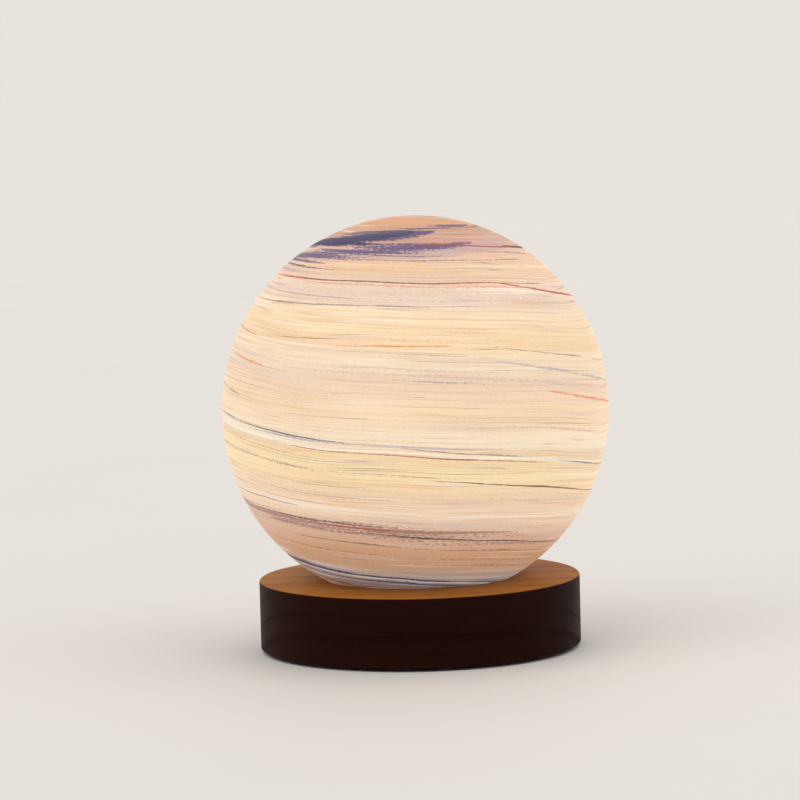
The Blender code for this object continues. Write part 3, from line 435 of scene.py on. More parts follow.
# Each stroke is where it starts and ends round the globe in degrees, its height at both ends, half its
# width, how dry the brush is, how thick the paint is, and the colour.
FRONT_STROKES = [
    (-108, 74, 0.786, 0.908, 0.058, 0.30, 0.62, (188, 160, 164)),
    (-108, 40, 0.782, 0.904, 0.060, 0.60, 0.90, (80, 60, 110)),
    (-106, 20, 0.852, 0.950, 0.046, 0.50, 0.93, (56, 36, 98)),
    (-106, 4, 0.850, 0.948, 0.044, 0.38, 0.97, (26, 10, 76)),
    (-64, 68, 0.928, 0.985, 0.018, 0.58, 0.90, (76, 54, 98)),
    (-12, 104, 0.952, 0.982, 0.012, 0.70, 0.80, (120, 90, 112)),
    (-72, 8, 0.874, 0.898, 0.012, 0.60, 0.92, (34, 18, 78)),
    (-106, -44, 0.790, 0.782, 0.016, 0.60, 0.88, (92, 78, 120)),
    (-106, -34, 0.768, 0.756, 0.010, 0.55, 0.85, (78, 62, 108)),
    (-106, -50, 0.746, 0.734, 0.016, 0.70, 0.75, (146, 124, 142)),
    (-60, 26, 0.828, 0.838, 0.008, 0.60, 0.80, (112, 92, 108)),
    (-44, 60, 0.808, 0.822, 0.006, 0.60, 0.75, (134, 112, 112)),
    (4, 96, 0.905, 0.900, 0.020, 0.80, 0.70, (232, 158, 128)),
    (-10, 100, 0.893, 0.871, 0.006, 0.40, 0.95, (166, 66, 46)),
    (20, 98, 0.868, 0.838, 0.010, 0.75, 0.75, (150, 128, 124)),
    (58, 94, 0.885, 0.871, 0.007, 0.20, 0.95, (62, 30, 36)),
    (-92, -40, 0.742, 0.730, 0.030, 0.90, 0.60, (206, 170, 166)),
    (-84, -30, 0.706, 0.706, 0.010, 0.55, 0.85, (222, 118, 74)),
    (-70, 60, 0.702, 0.714, 0.007, 0.45, 0.90, (142, 84, 70)),
    (-60, 50, 0.686, 0.694, 0.014, 0.95, 0.75, (226, 142, 108)),
    (30, 96, 0.716, 0.636, 0.008, 0.45, 0.90, (180, 68, 48)),
    (-92, -20, 0.640, 0.622, 0.007, 0.55, 0.65, (166, 140, 138)),
    (-92, 34, 0.568, 0.612, 0.007, 0.60, 0.80, (140, 116, 122)),
    (-70, 80, 0.655, 0.640, 0.034, 1.00, 0.60, (206, 186, 184)),
    (-10, 70, 0.605, 0.600, 0.012, 0.80, 0.60, (216, 190, 190)),
    (-92, -60, 0.420, 0.392, 0.005, 0.40, 0.75, (120, 84, 72)),
    (-50, -22, 0.412, 0.430, 0.004, 0.35, 0.75, (166, 106, 78)),
    (-70, 30, 0.440, 0.428, 0.018, 0.95, 0.60, (232, 172, 130)),
    (-26, 12, 0.396, 0.413, 0.008, 0.45, 0.80, (222, 132, 74)),
    (-60, 30, 0.375, 0.360, 0.008, 0.85, 0.55, (196, 166, 140)),
    (22, 90, 0.412, 0.338, 0.006, 0.60, 0.80, (150, 122, 118)),
    (-94, -44, 0.330, 0.285, 0.024, 0.75, 0.70, (222, 206, 210)),
    (-90, -40, 0.282, 0.235, 0.014, 0.70, 0.80, (230, 142, 92)),
    (-94, -34, 0.238, 0.205, 0.022, 0.80, 0.70, (214, 198, 206)),
    (-44, 30, 0.300, 0.282, 0.010, 0.75, 0.55, (186, 180, 164)),
    (-34, 66, 0.268, 0.226, 0.058, 1.05, 0.55, (208, 184, 172)),
    (-10, 40, 0.236, 0.214, 0.012, 0.80, 0.70, (160, 146, 148)),
    (22, 92, 0.345, 0.228, 0.012, 0.70, 0.75, (176, 166, 186)),
    (40, 94, 0.192, 0.118, 0.018, 0.65, 0.85, (230, 140, 82)),
    (-94, -62, 0.112, 0.060, 0.006, 0.45, 0.75, (120, 84, 78)),
    (-92, -20, 0.140, 0.120, 0.010, 0.80, 0.60, (214, 160, 116)),
    (0, 86, 0.030, -0.030, 0.010, 0.95, 0.50, (196, 158, 132)),
    (-94, -18, -0.052, -0.098, 0.008, 0.45, 0.90, (92, 90, 118)),
    (-60, 30, -0.092, -0.112, 0.010, 0.60, 0.75, (172, 166, 186)),
    (-10, 92, -0.108, -0.205, 0.008, 0.60, 0.85, (122, 116, 132)),
    (-92, 70, -0.105, -0.168, 0.020, 0.75, 0.80, (254, 244, 230)),
    (-40, 42, -0.136, -0.176, 0.006, 0.50, 0.85, (168, 84, 60)),
    (-92, -30, -0.150, -0.185, 0.010, 0.80, 0.60, (204, 150, 116)),
    (-90, -30, -0.215, -0.250, 0.022, 1.00, 0.75, (176, 120, 96)),
    (-70, 20, -0.232, -0.262, 0.006, 0.65, 0.65, (190, 140, 96)),
    (2, 88, -0.268, -0.340, 0.006, 0.40, 0.90, (118, 72, 58)),
    (-88, -10, -0.305, -0.330, 0.012, 0.95, 0.60, (202, 148, 116)),
    (20, 92, -0.360, -0.440, 0.024, 1.00, 0.60, (226, 176, 140)),
    (-80, -6, -0.370, -0.385, 0.006, 0.65, 0.65, (178, 136, 116)),
    (-90, 50, -0.430, -0.470, 0.030, 0.90, 0.55, (252, 238, 226)),
    (-92, -40, -0.440, -0.455, 0.006, 0.50, 0.70, (140, 96, 84)),
    (10, 80, -0.490, -0.545, 0.010, 0.90, 0.60, (196, 170, 160)),
    (-98, 44, -0.515, -0.562, 0.056, 0.78, 0.80, (150, 106, 96)),
    (-96, -10, -0.505, -0.530, 0.008, 0.50, 0.80, (118, 80, 78)),
    (-60, 98, -0.556, -0.618, 0.052, 0.82, 0.78, (148, 112, 108)),
    (-40, -6, -0.534, -0.548, 0.008, 0.80, 0.80, (178, 74, 56)),
    (-20, 74, -0.562, -0.608, 0.007, 0.45, 0.90, (72, 54, 62)),
    (-60, 70, -0.612, -0.655, 0.007, 0.60, 0.75, (128, 76, 66)),
    (-80, 60, -0.660, -0.705, 0.014, 0.85, 0.70, (168, 98, 62)),
    (-50, 70, -0.705, -0.742, 0.010, 0.80, 0.70, (176, 110, 78)),
    (-84, 76, -0.752, -0.832, 0.014, 0.80, 0.70, (206, 198, 190)),
    (-98, -6, -0.772, -0.815, 0.018, 0.55, 0.90, (72, 78, 110)),
    (-84, 76, -0.778, -0.858, 0.012, 0.50, 0.95, (52, 68, 112)),
    (-66, 60, -0.802, -0.852, 0.006, 0.55, 0.85, (236, 226, 220)),
    (-70, 70, -0.816, -0.878, 0.010, 0.55, 0.90, (66, 66, 96)),
    (-60, 30, -0.856, -0.886, 0.009, 0.70, 0.70, (158, 138, 138)),
    (-70, -6, -0.868, -0.905, 0.012, 0.60, 0.85, (132, 52, 48)),
]
BACK_STROKES = [
    (-84, 40, 0.955, 0.880, 0.024, 0.80, 0.70, (132, 98, 112)),
    (10, 96, 0.900, 0.830, 0.036, 0.70, 0.80, (92, 70, 106)),
    (-60, 30, 0.860, 0.880, 0.010, 0.60, 0.80, (112, 92, 108)),
    (-96, 10, 0.636, 0.700, 0.009, 0.50, 0.85, (178, 76, 54)),
    (-20, 92, 0.715, 0.706, 0.010, 0.60, 0.80, (206, 120, 82)),
    (-70, 80, 0.655, 0.640, 0.034, 1.00, 0.60, (206, 186, 184)),
    (-70, 60, 0.600, 0.568, 0.007, 0.55, 0.75, (146, 122, 126)),
    (-92, 20, 0.338, 0.395, 0.007, 0.60, 0.75, (156, 128, 124)),
    (-30, 70, 0.430, 0.420, 0.016, 0.95, 0.60, (230, 168, 124)),
    (-10, 94, 0.310, 0.285, 0.034, 0.85, 0.65, (214, 200, 206)),
    (-60, 60, 0.250, 0.230, 0.030, 1.00, 0.55, (208, 184, 172)),
    (-96, -20, 0.118, 0.160, 0.018, 0.60, 0.80, (230, 142, 86)),
    (20, 90, 0.130, 0.112, 0.010, 0.70, 0.65, (186, 160, 150)),
    (-96, 30, -0.205, -0.120, 0.009, 0.55, 0.85, (122, 116, 132)),
    (10, 96, -0.100, -0.052, 0.009, 0.45, 0.85, (92, 90, 118)),
    (-80, 80, -0.140, -0.110, 0.020, 0.80, 0.70, (254, 244, 230)),
    (-50, 50, -0.190, -0.170, 0.006, 0.45, 0.80, (168, 84, 60)),
    (-92, 10, -0.340, -0.290, 0.007, 0.45, 0.80, (118, 72, 58)),
    (-20, 92, -0.250, -0.215, 0.024, 1.00, 0.70, (176, 120, 96)),
    (-80, 60, -0.430, -0.430, 0.034, 0.95, 0.50, (252, 238, 226)),
    (-96, 40, -0.618, -0.570, 0.040, 1.00, 0.80, (138, 104, 102)),
    (-20, 96, -0.556, -0.520, 0.042, 0.98, 0.80, (140, 96, 88)),
    (-60, 60, -0.600, -0.590, 0.008, 0.45, 0.80, (84, 66, 74)),
    (-60, 80, -0.700, -0.670, 0.014, 0.85, 0.70, (168, 98, 62)),
    (-96, 20, -0.830, -0.790, 0.013, 0.55, 0.90, (56, 70, 112)),
    (-20, 96, -0.800, -0.778, 0.012, 0.55, 0.90, (60, 66, 106)),
    (-70, 70, -0.862, -0.850, 0.010, 0.60, 0.85, (196, 178, 180)),
]
print(len(WASH_AND_LOW_SHADE), "bands,", len(FRONT_STROKES) + len(BACK_STROKES), "strokes")


# %% Hair lines of the brush
def hair_lines(paint, flat, pitch, shift, thin, strength):
    """Long thin lines where a stretched noise crosses its middle, as single bristles leave them."""
    noise = paint.noise(paint.stretch(flat, (0.3, 0.3, pitch), shift), 1.0, 2.0, 0.5)
    away = paint.calc("ABSOLUTE", paint.calc("SUBTRACT", noise, 0.5))
    return paint.remap(away, thin, 0.0, 0.0, strength)


# %% Paint the globe
BAND_LEAN = 0.05
LEAN_WITH_HEIGHT = -0.02
LEAN_AT_SIDES = 0.05
UPPER_LIFT = 0.022
SLOW_WANDER = 0.030
QUICK_WANDER = 0.014
LINES_PER_RADIUS = 40.0
BAND_FRAY = 0.07
STROKE_FRAY = 0.012
DAY_SHARE = 0.40
GLOW = 0.65
PAINT_RELIEF = 0.00008
OPAL_DAY_SHARE = 0.5
OPAL_GLOW = 0.45
DEGREES = 180 / math.pi


def paint_globe():
    """The painted outside of the globe: wash, hair lines and strokes, seen by daylight and from inside."""
    paint = Recipe("painted_opal_glass")
    size = 1 / globe_radius
    where = paint.stretch(paint.place_on(), (size, size, size))
    x, y, z = paint.parts_of(where)
    lean = paint.calc("MULTIPLY", x, paint.calc("MULTIPLY_ADD", z, LEAN_WITH_HEIGHT, BAND_LEAN))
    lean = paint.calc("MULTIPLY_ADD", paint.calc("POWER", x, 3.0), LEAN_AT_SIDES, lean)
    slow = paint.noise(where, 1.2, 1.0)
    quick = paint.noise(paint.stretch(where, (1.0, 1.0, 3.0), (7.0, 2.0, 5.0)), 2.2, 2.0)
    lean = paint.calc("ADD", lean, paint.remap(z, -0.2, 0.5, 0.0, UPPER_LIFT))
    height = paint.calc("ADD", z, lean)
    height = paint.calc("MULTIPLY_ADD", paint.calc("SUBTRACT", slow, 0.5), SLOW_WANDER, height)
    height = paint.calc("MULTIPLY_ADD", paint.calc("SUBTRACT", quick, 0.5), QUICK_WANDER, height)
    flat = paint.join(x, y, paint.calc("MULTIPLY", height, LINES_PER_RADIUS))
    hair = paint.noise(paint.stretch(flat, (0.4, 0.4, 0.9)), 1.0, 3.0, 0.62)
    bristles = paint.noise(paint.stretch(flat, (0.9, 0.9, 2.3), (3.0, 9.0, 1.0)), 1.0, 3.0, 0.7)
    grit = paint.noise(paint.stretch(where, (1.0, 1.0, 1.7), (1.0, 4.0, 8.0)), 70.0, 3.0, 0.75)
    zone = paint.noise(paint.stretch(flat, (1.1, 1.1, 0.15), (5.0, 5.0, 2.0)), 1.0, 2.0)
    other = paint.noise(paint.stretch(flat, (1.2, 1.2, 0.22), (2.0, 8.0, 6.0)), 1.0, 2.0)
    strip = paint.calc("MULTIPLY_ADD", paint.calc("SUBTRACT", hair, 0.5), BAND_FRAY, height)
    strip = paint.calc("MULTIPLY_ADD", strip, 0.5, 0.5)
    shown = paint.ramp(strip, [((at + 1) / 2, colour(*tint)) for at, tint in WASH_AND_LOW_SHADE])
    # Thin half-dry streaks of grey, white and lilac break up the wash.
    streaks = paint.remap(bristles, 0.49, 0.66)
    dry = paint.calc("MULTIPLY", streaks, paint.remap(zone, 0.40, 0.60, 0.0, 0.38))
    shown = paint.blend(dry, shown, colour(222, 182, 150))
    streaks = paint.remap(bristles, 0.49, 0.36)
    white = paint.calc("MULTIPLY", streaks, paint.remap(other, 0.42, 0.62, 0.0, 0.65))
    shown = paint.blend(white, shown, colour(255, 243, 224))
    streaks = paint.remap(hair, 0.50, 0.64)
    lilac = paint.calc("MULTIPLY", streaks, paint.remap(other, 0.52, 0.36, 0.0, 0.45))
    shown = paint.blend(lilac, shown, colour(218, 198, 192))
    # Single bristles leave thin tan, orange and grey lines.
    tan = hair_lines(paint, flat, 0.9, (4.0, 1.0, 0.0), 0.018, 0.34)
    shown = paint.blend(tan, shown, colour(212, 162, 122))
    fine = hair_lines(paint, flat, 1.7, (6.0, 2.0, 3.0), 0.026, 0.40)
    fine = paint.calc("MULTIPLY", fine, paint.remap(zone, 0.35, 0.6))
    shown = paint.blend(fine, shown, colour(196, 150, 124))
    peach = hair_lines(paint, flat, 0.6, (9.0, 3.0, 2.0), 0.020, 0.45)
    peach = paint.calc("MULTIPLY", peach, paint.remap(other, 0.4, 0.6))
    shown = paint.blend(peach, shown, colour(238, 168, 112))
    grey = hair_lines(paint, flat, 0.75, (1.0, 6.0, 5.0), 0.012, 0.55)
    grey = paint.calc("MULTIPLY", grey, paint.remap(zone, 0.62, 0.45))
    shown = paint.blend(grey, shown, colour(152, 118, 108))
    gaps = paint.calc("MULTIPLY_ADD", grit, 0.65, paint.calc("MULTIPLY", bristles, 0.95))
    gaps = paint.remap(gaps, 0.58, 1.02, 0.0, 1.8, smooth=False)
    edge = paint.calc("MULTIPLY_ADD", paint.calc("SUBTRACT", bristles, 0.5), STROKE_FRAY, height)
    turn_front = paint.calc("ARCTAN2", x, paint.calc("MULTIPLY", y, -1.0))
    turn_front = paint.calc("MULTIPLY", turn_front, DEGREES)
    turn_back = paint.calc("ARCTAN2", paint.calc("MULTIPLY", x, -1.0), y)
    turn_back = paint.calc("MULTIPLY", turn_back, DEGREES)
    for turn, strokes in ((turn_front, FRONT_STROKES), (turn_back, BACK_STROKES)):
        for begin, end, start, finish, half, dryness, body, tint in strokes:
            stroke = paint.tree.nodes.new("ShaderNodeGroup")
            stroke.node_tree = BRUSH_STROKE
            values = (edge, turn, gaps, begin, end, start, finish, half, dryness)
            for socket, value in zip(stroke.inputs, values):
                paint.feed(socket, value)
            cover = paint.calc("MULTIPLY", stroke.outputs[0], body)
            shown = paint.blend(cover, shown, colour(*tint))
    speck = paint.remap(grit, 0.32, 0.68, 0.92, 1.04, smooth=False)
    shown = paint.blend(1.0, shown, paint.join(speck, speck, speck), "MULTIPLY")
    ridges = paint.calc("MULTIPLY_ADD", grit, 0.4, bristles)
    gloss = paint.remap(hair, 0.3, 0.7, 0.42, 0.55)
    by_day = paint.blend(1.0, shown, (DAY_SHARE, DAY_SHARE, DAY_SHARE, 1.0), "MULTIPLY")
    paint.coat(Base_Color=by_day, Roughness=gloss, Normal=paint.relief(ridges, PAINT_RELIEF, 0.5))
    paint.coat(Emission_Color=shown, Emission_Strength=GLOW)
    return paint.material


def bare_opal():
    """Milky glass, lit from inside, with faint clouds and a few seeds."""
    glass = Recipe("bare_opal_glass")
    where = glass.place_on()
    cloud = glass.noise(where, 40.0, 3.0)
    tint = glass.ramp(cloud, [(0.35, colour(246, 236, 214)), (0.65, colour(254, 246, 228))])
    seeds = glass.noise(where, 900.0, 2.0)
    by_day = glass.blend(1.0, tint, (OPAL_DAY_SHARE, OPAL_DAY_SHARE, OPAL_DAY_SHARE, 1.0), "MULTIPLY")
    glass.coat(Base_Color=by_day, Emission_Color=tint, Emission_Strength=OPAL_GLOW)
    gloss = glass.remap(cloud, 0.3, 0.7, 0.12, 0.22)
    return glass.coat(Roughness=gloss, Normal=glass.relief(seeds, 0.00003, 0.3))


globe.data.materials.append(paint_globe())
globe.data.materials.append(bare_opal())
for face in globe.data.polygons:
    outside = face.center.length > globe_radius - GLASS_WALL / 3 and face.normal.dot(face.center) > 0
    face.material_index = 0 if outside else 1
print("painted faces:", sum(1 for face in globe.data.polygons if face.material_index == 0))

# %% [markdown]
# ## The walnut base
# The base is one disc of walnut, turned on a lathe: a flat top with a softly broken edge, a plain upright
# side, a pocket for the neck of the globe, and a hollow underside with a step for the cover. The back has
# two spot-faced holes for the socket and the button. The disc is turned here again with many more steps
# than the frame has, and the two holes at the back are cut from it again.

# %% Turn the base
WOOD_LIFT = base_low.z
POCKET_DEPTH = 0.009
WEB_THICKNESS = 0.0045
RIM_WALL = 0.0057
LEDGE_WIDTH = 0.0068
CAVITY_FILLET = 0.002
EDGE_ROUND = 0.001
FOOT_CHAMFER = 0.0008
SEAT_GAP = 0.0003
BASE_STEPS = 192
EDGE_POINTS = 9
FILLET_POINTS = 8
POCKET_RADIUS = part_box("globe_gasket")[1].x + SEAT_GAP
COLUMN_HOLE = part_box("lamp_column")[1].x + SEAT_GAP
rebate_radius = base_radius - RIM_WALL
cavity_radius = rebate_radius - LEDGE_WIDTH
rebate_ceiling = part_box("bottom_cover")[1].z + SEAT_GAP
pocket_floor = base_top - POCKET_DEPTH
cavity_ceiling = pocket_floor - WEB_THICKNESS
seat_ball = globe_radius + SEAT_GAP
mouth = math.sqrt(seat_ball**2 - (globe_centre - base_top) ** 2)
outline = arc((base_radius - EDGE_ROUND, base_top - EDGE_ROUND), EDGE_ROUND, math.pi / 2, 0.0, EDGE_POINTS)
outline += [
    (base_radius, WOOD_LIFT + FOOT_CHAMFER),
    (base_radius - FOOT_CHAMFER, WOOD_LIFT),
    (rebate_radius, WOOD_LIFT),
    (rebate_radius, rebate_ceiling),
    (cavity_radius, rebate_ceiling),
]
fillet = (cavity_radius - CAVITY_FILLET, cavity_ceiling - CAVITY_FILLET)
outline += arc(fillet, CAVITY_FILLET, 0.0, math.pi / 2, FILLET_POINTS)
outline += [
    (COLUMN_HOLE, cavity_ceiling),
    (COLUMN_HOLE, pocket_floor),
    (POCKET_RADIUS, pocket_floor),
]
seat_from = -math.acos(POCKET_RADIUS / seat_ball)
seat_to = -math.acos(mouth / seat_ball)
outline += arc((0.0, globe_centre), seat_ball, seat_from, seat_to, FILLET_POINTS)
base = turned("turned_base", outline, BASE_STEPS)
base.data.transform(Matrix.Rotation(math.pi / BASE_STEPS, 4, "Z"))
print("base of", len(base.data.polygons), "faces before drilling")

# %% [markdown]
# ## The holes at the back
# The socket and the button sit on flat spot faces that a drill leaves in the round side, and a milled recess
# behind each one makes room for its body. The cuts are made as in the workshop, with solid cutters, so the
# flat faces and the round side both stay exact. Each cutter overruns the wood a little, so that no two faces
# lie in one plane.

# %% Drill the base
BACK_SEATS = {"switch": math.radians(90), "jack": math.radians(120)}
SPOT_DEPTH = 0.0015
SPOT_RADIUS = 0.0061
BARREL_HOLE = 0.0043
SEAT_WALL = 0.005
RECESS_WIDTH = 0.016
RECESS_HEADROOM = 0.0004
DRILL_STEPS = 64
OVERRUN = 0.002
seat_radius = base_radius - SPOT_DEPTH
seat_height = (rebate_ceiling + cavity_ceiling) / 2


def box_cutter(name, size, centre):
    """A plain block that mills a recess."""
    cage = bmesh.new()
    bmesh.ops.create_cube(cage, size=1.0)
    bmesh.ops.scale(cage, vec=size, verts=cage.verts)
    bmesh.ops.translate(cage, vec=centre, verts=cage.verts)
    made = bpy.data.meshes.new(name)
    cage.to_mesh(made)
    cage.free()
    obj = bpy.data.objects.new(name, made)
    bpy.context.scene.collection.objects.link(obj)
    return obj


def cut(piece, cutters):
    """Takes the cutters away from the piece and then removes them."""
    for cutter in cutters:
        away = piece.modifiers.new(cutter.name, "BOOLEAN")
        away.operation = "DIFFERENCE"
        away.solver = "EXACT"
        away.object = cutter
    bpy.context.view_layer.update()
    graph = bpy.context.evaluated_depsgraph_get()
    made = bpy.data.meshes.new_from_object(piece.evaluated_get(graph))
    piece.modifiers.clear()
    piece.data = made
    made.shade_smooth()
    made.set_sharp_from_angle(angle=SHARP_ANGLE)
    for cutter in cutters:
        bpy.data.objects.remove(cutter, do_unlink=True)
    return piece


cutters = []
for name, azimuth in BACK_SEATS.items():
    recess_end = seat_radius - cavity_radius + CAVITY_FILLET + OVERRUN
    recess_top = cavity_ceiling + RECESS_HEADROOM
    recess_low = rebate_ceiling - OVERRUN
    size = (recess_top - recess_low, RECESS_WIDTH, recess_end - SEAT_WALL)
    middle = (seat_height - (recess_top + recess_low) / 2, 0.0, -(SEAT_WALL + recess_end) / 2)
    recess = box_cutter(name + "_recess", size, middle)
    steps = [
        (0.0, SPOT_DEPTH + OVERRUN),
        (SPOT_RADIUS, SPOT_DEPTH + OVERRUN),
        (SPOT_RADIUS, 0.0),
        (BARREL_HOLE, 0.0),
        (BARREL_HOLE, -SEAT_WALL - OVERRUN),
        (0.0, -SEAT_WALL - OVERRUN),
    ]
    drill = turned(name + "_drill", steps, DRILL_STEPS, closed=False)
    for cutter in (recess, drill):
        cutter.location = (seat_radius * math.cos(azimuth), seat_radius * math.sin(azimuth), seat_height)
        cutter.rotation_euler = (0.0, math.pi / 2, azimuth)
        cutters.append(cutter)
cut(base, cutters)
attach(base, "base")
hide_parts("wood_base")
print("base of", len(base.data.polygons), "faces after drilling")


# %% [markdown]
# ## Walnut
# Walnut has long straight grain with darker late wood, slow changes of tone, and short open pores. Rings
# are cylinders round a heart that lies well below the disc, so the top shows long lines and the side
# shows their ends. The rings are read from the distance to that heart, bent by noise. Light and shade are
# painted into the colour: the top takes a golden lit tone and the side a near-black shaded tone, and the
# two meet on the rounded edge by how far each face turns up.

# %% Mix the walnut
HEART_FORWARD = 0.05
HEART_BELOW = 0.09
GRAIN_WANDER = 0.014
RING_LINES = 240.0
GRAIN_RELIEF = 0.00005
OIL_SHINE = 0.03


def walnut():
    """Straight grain with late wood, fibres and pores, with a painted golden lit top and a painted near-black
    shaded side.
    """
    wood = Recipe("turned_walnut")
    where = wood.place_on()
    x, y, z = wood.parts_of(where)
    wander = wood.noise(wood.stretch(where, (5.0, 20.0, 20.0)), 1.0, 3.0)
    across = wood.calc("MULTIPLY_ADD", wander, GRAIN_WANDER, wood.calc("ADD", y, HEART_FORWARD))
    deep = wood.calc("ADD", z, HEART_BELOW)
    squares = wood.calc("ADD", wood.calc("POWER", across, 2.0), wood.calc("POWER", deep, 2.0))
    heart = wood.calc("MULTIPLY", wood.calc("SQRT", squares), RING_LINES)
    rings = wood.noise(wood.join(0.0, heart, 0.0), 1.0, 3.0, 0.65)
    late = wood.remap(rings, 0.46, 0.66)
    slow = wood.noise(wood.stretch(where, (8.0, 30.0, 30.0), (1.0, 1.0, 1.0)), 1.0, 4.0)
    fibre = wood.noise(wood.stretch(where, (60.0, 1500.0, 1500.0)), 1.0, 4.0, 0.6)
    pores = wood.noise(wood.stretch(where, (130.0, 2600.0, 2600.0), (4.0, 2.0, 7.0)), 1.0, 2.0)
    pore = wood.remap(pores, 0.62, 0.72)
    # Painted light and shade: a golden lit tone for the top and a near-black shaded tone for the side,
    # blended by how far the face turns up.
    top = wood.ramp(slow, [(0.3, colour(158, 98, 38)), (0.7, colour(194, 132, 56))])
    shaded_side_tone = wood.ramp(slow, [(0.3, colour(28, 9, 5)), (0.7, colour(44, 15, 8))])
    up = wood.parts_of(wood.add("ShaderNodeNewGeometry", "Normal"))[2]
    shown = wood.blend(wood.remap(up, 0.35, 0.80), shaded_side_tone, top)
    shown = wood.blend(wood.calc("MULTIPLY", late, 0.45), shown, (0.52, 0.42, 0.36, 1.0), "MULTIPLY")
    grey = wood.remap(fibre, 0.3, 0.7, 0.80, 1.14, smooth=False)
    shown = wood.blend(1.0, shown, wood.join(grey, grey, grey), "MULTIPLY")
    shown = wood.blend(wood.calc("MULTIPLY", pore, 0.6), shown, colour(34, 15, 8))
    gloss = wood.remap(wood.calc("ADD", late, wood.calc("MULTIPLY", pore, 0.6)), 0.0, 1.6, 0.46, 0.66)
    grain = wood.calc("SUBTRACT", wood.calc("MULTIPLY", fibre, 0.5), pore)
    wood.coat(Base_Color=shown, Roughness=gloss, Normal=wood.relief(grain, GRAIN_RELIEF, 0.5))
    return wood.coat(Specular_IOR_Level=OIL_SHINE)


base.data.materials.clear()
base.data.materials.append(walnut())
print("walnut of", len(bpy.data.materials["turned_walnut"].node_tree.nodes), "nodes")


# %% [markdown]
# ## Metals
# The steel pieces are zinc plated, the clips are bright rolled strip and the cup, nut and contacts are
# brass. Real metal is never even: plating is cloudy, turned parts carry rings and rolled strip carries
# lines. The roughness changes more than the colour does, because that is what the eye reads as metal.

# %% Mix the metals
METAL_CLOUDS = 120.0
METAL_WEAR = 0.00002
TURNED = (300.0, 300.0, 2500.0)
ROLLED = (2500.0, 2500.0, 200.0)


def metal(name, dark, light, rough, brushed=TURNED):
    """A metal finish: two tones, their clouds, and fine lines of machining across one direction."""
    mix = Recipe(name)
    where = mix.place_on()
    cloud = mix.noise(where, METAL_CLOUDS, 4.0, 0.6)
    lines = mix.noise(mix.stretch(where, brushed), 1.0, 3.0, 0.6)
    tone = mix.ramp(cloud, [(0.3, colour(*dark)), (0.7, colour(*light))])
    gloss = mix.calc("MULTIPLY_ADD", lines, 0.16, mix.remap(cloud, 0.3, 0.7, rough - 0.12, rough + 0.04))
    mix.coat(Base_Color=tone, Metallic=1.0, Roughness=gloss, Normal=mix.relief(lines, METAL_WEAR, 0.5))
    return mix.material


ZINC = metal("zinc_plated_steel", (176, 178, 176), (208, 207, 200), 0.34)
STRIP = metal("rolled_spring_steel", (168, 170, 174), (204, 206, 210), 0.26, ROLLED)
BRASS = metal("turned_brass", (186, 142, 72), (222, 180, 104), 0.28)
print("three metals")


# %% [markdown]
# ## Plastics, rubber and ceramic
# Moulded plastic has a fine spark-eroded grain and a slight change of gloss where it cooled. Rubber is
# duller and collects pale dust. Ceramic is smooth with small dark specks. One helper mixes them all from a
# tone, a grain size and a gloss, and only what differs is written for each.

# %% Mix the mouldings
def moulding(name, dark, light, rough, grain, depth, specks=None, glow=None):
    """A moulded finish: cloudy tone, fine grain as relief, and specks of another colour."""
    mix = Recipe(name)
    where = mix.place_on()
    cloud = mix.noise(where, 90.0, 4.0, 0.6)
    fine = mix.noise(where, grain, 3.0, 0.6)
    tone = mix.ramp(cloud, [(0.3, colour(*dark)), (0.7, colour(*light))])
    if specks:
        dust = mix.noise(mix.stretch(where, (1.0, 1.0, 1.0), (3.0, 1.0, 2.0)), grain * 0.6, 1.0)
        dots = mix.remap(dust, 0.68, 0.74)
        tone = mix.blend(mix.calc("MULTIPLY", dots, 0.6), tone, colour(*specks))
    gloss = mix.calc("MULTIPLY_ADD", fine, 0.14, mix.remap(cloud, 0.3, 0.7, rough - 0.12, rough))
    mix.coat(Base_Color=tone, Roughness=gloss, Normal=mix.relief(fine, depth, 0.6))
    if glow:
        mix.coat(Emission_Color=tone, Emission_Strength=glow)
    return mix.material


BLACK_PLASTIC = moulding("moulded_black_plastic", (24, 24, 26), (36, 36, 38), 0.52, 2600.0, 0.00004)
RUBBER = moulding("soft_black_rubber", (30, 30, 31), (46, 45, 44), 0.85, 1400.0, 0.00006, (96, 92, 88))
SILICONE = moulding(
    "milky_silicone", (206, 200, 188), (226, 221, 210), 0.55, 700.0, 0.00002, (180, 174, 160)
)
CERAMIC = moulding(
    "bulb_holder_ceramic", (226, 222, 210), (240, 237, 228), 0.36, 900.0, 0.00002, (150, 140, 124)
)
WHITE_PLASTIC = moulding("moulded_white_plastic", (226, 226, 220), (240, 240, 235), 0.44, 2000.0, 0.00003)
FROSTED = moulding("frosted_bulb_cover", (250, 236, 206), (255, 246, 224), 0.5, 2400.0, 0.00003, None, 0.6)
RED_WIRE = moulding("red_wire_sleeve", (150, 26, 20), (176, 36, 26), 0.42, 1800.0, 0.00002)
BLACK_WIRE = moulding("black_wire_sleeve", (24, 24, 26), (38, 38, 40), 0.42, 1800.0, 0.00002)
print("eight mouldings")

# %% [markdown]
# ## Dressing the pieces that keep their shape
# Most small pieces are already right in the frame. Each has the name of a finish in the record, so one
# table from those names to the mixed materials dresses every piece whose finish the table holds.

# %% Dress the small pieces
FINISHES = {
    "black_plastic": BLACK_PLASTIC,
    "soft_rubber": RUBBER,
    "silicone": SILICONE,
    "zinc_steel": ZINC,
    "spring_steel": STRIP,
    "brass": BRASS,
    "ceramic": CERAMIC,
    "white_plastic": WHITE_PLASTIC,
    "frosted_plastic": FROSTED,
    "red_wire": RED_WIRE,
    "black_wire": BLACK_WIRE,
}
finish_names = {part["node"]: part["material_slot"] for part in frame["record"]["subparts"]}
dressed = 0
for node, obj in frame["nodes"].items():
    finish = FINISHES.get(finish_names[node])
    if finish:
        obj.data.materials.clear()
        obj.data.materials.append(finish)
        dressed += 1
print("dressed", dressed, "pieces")

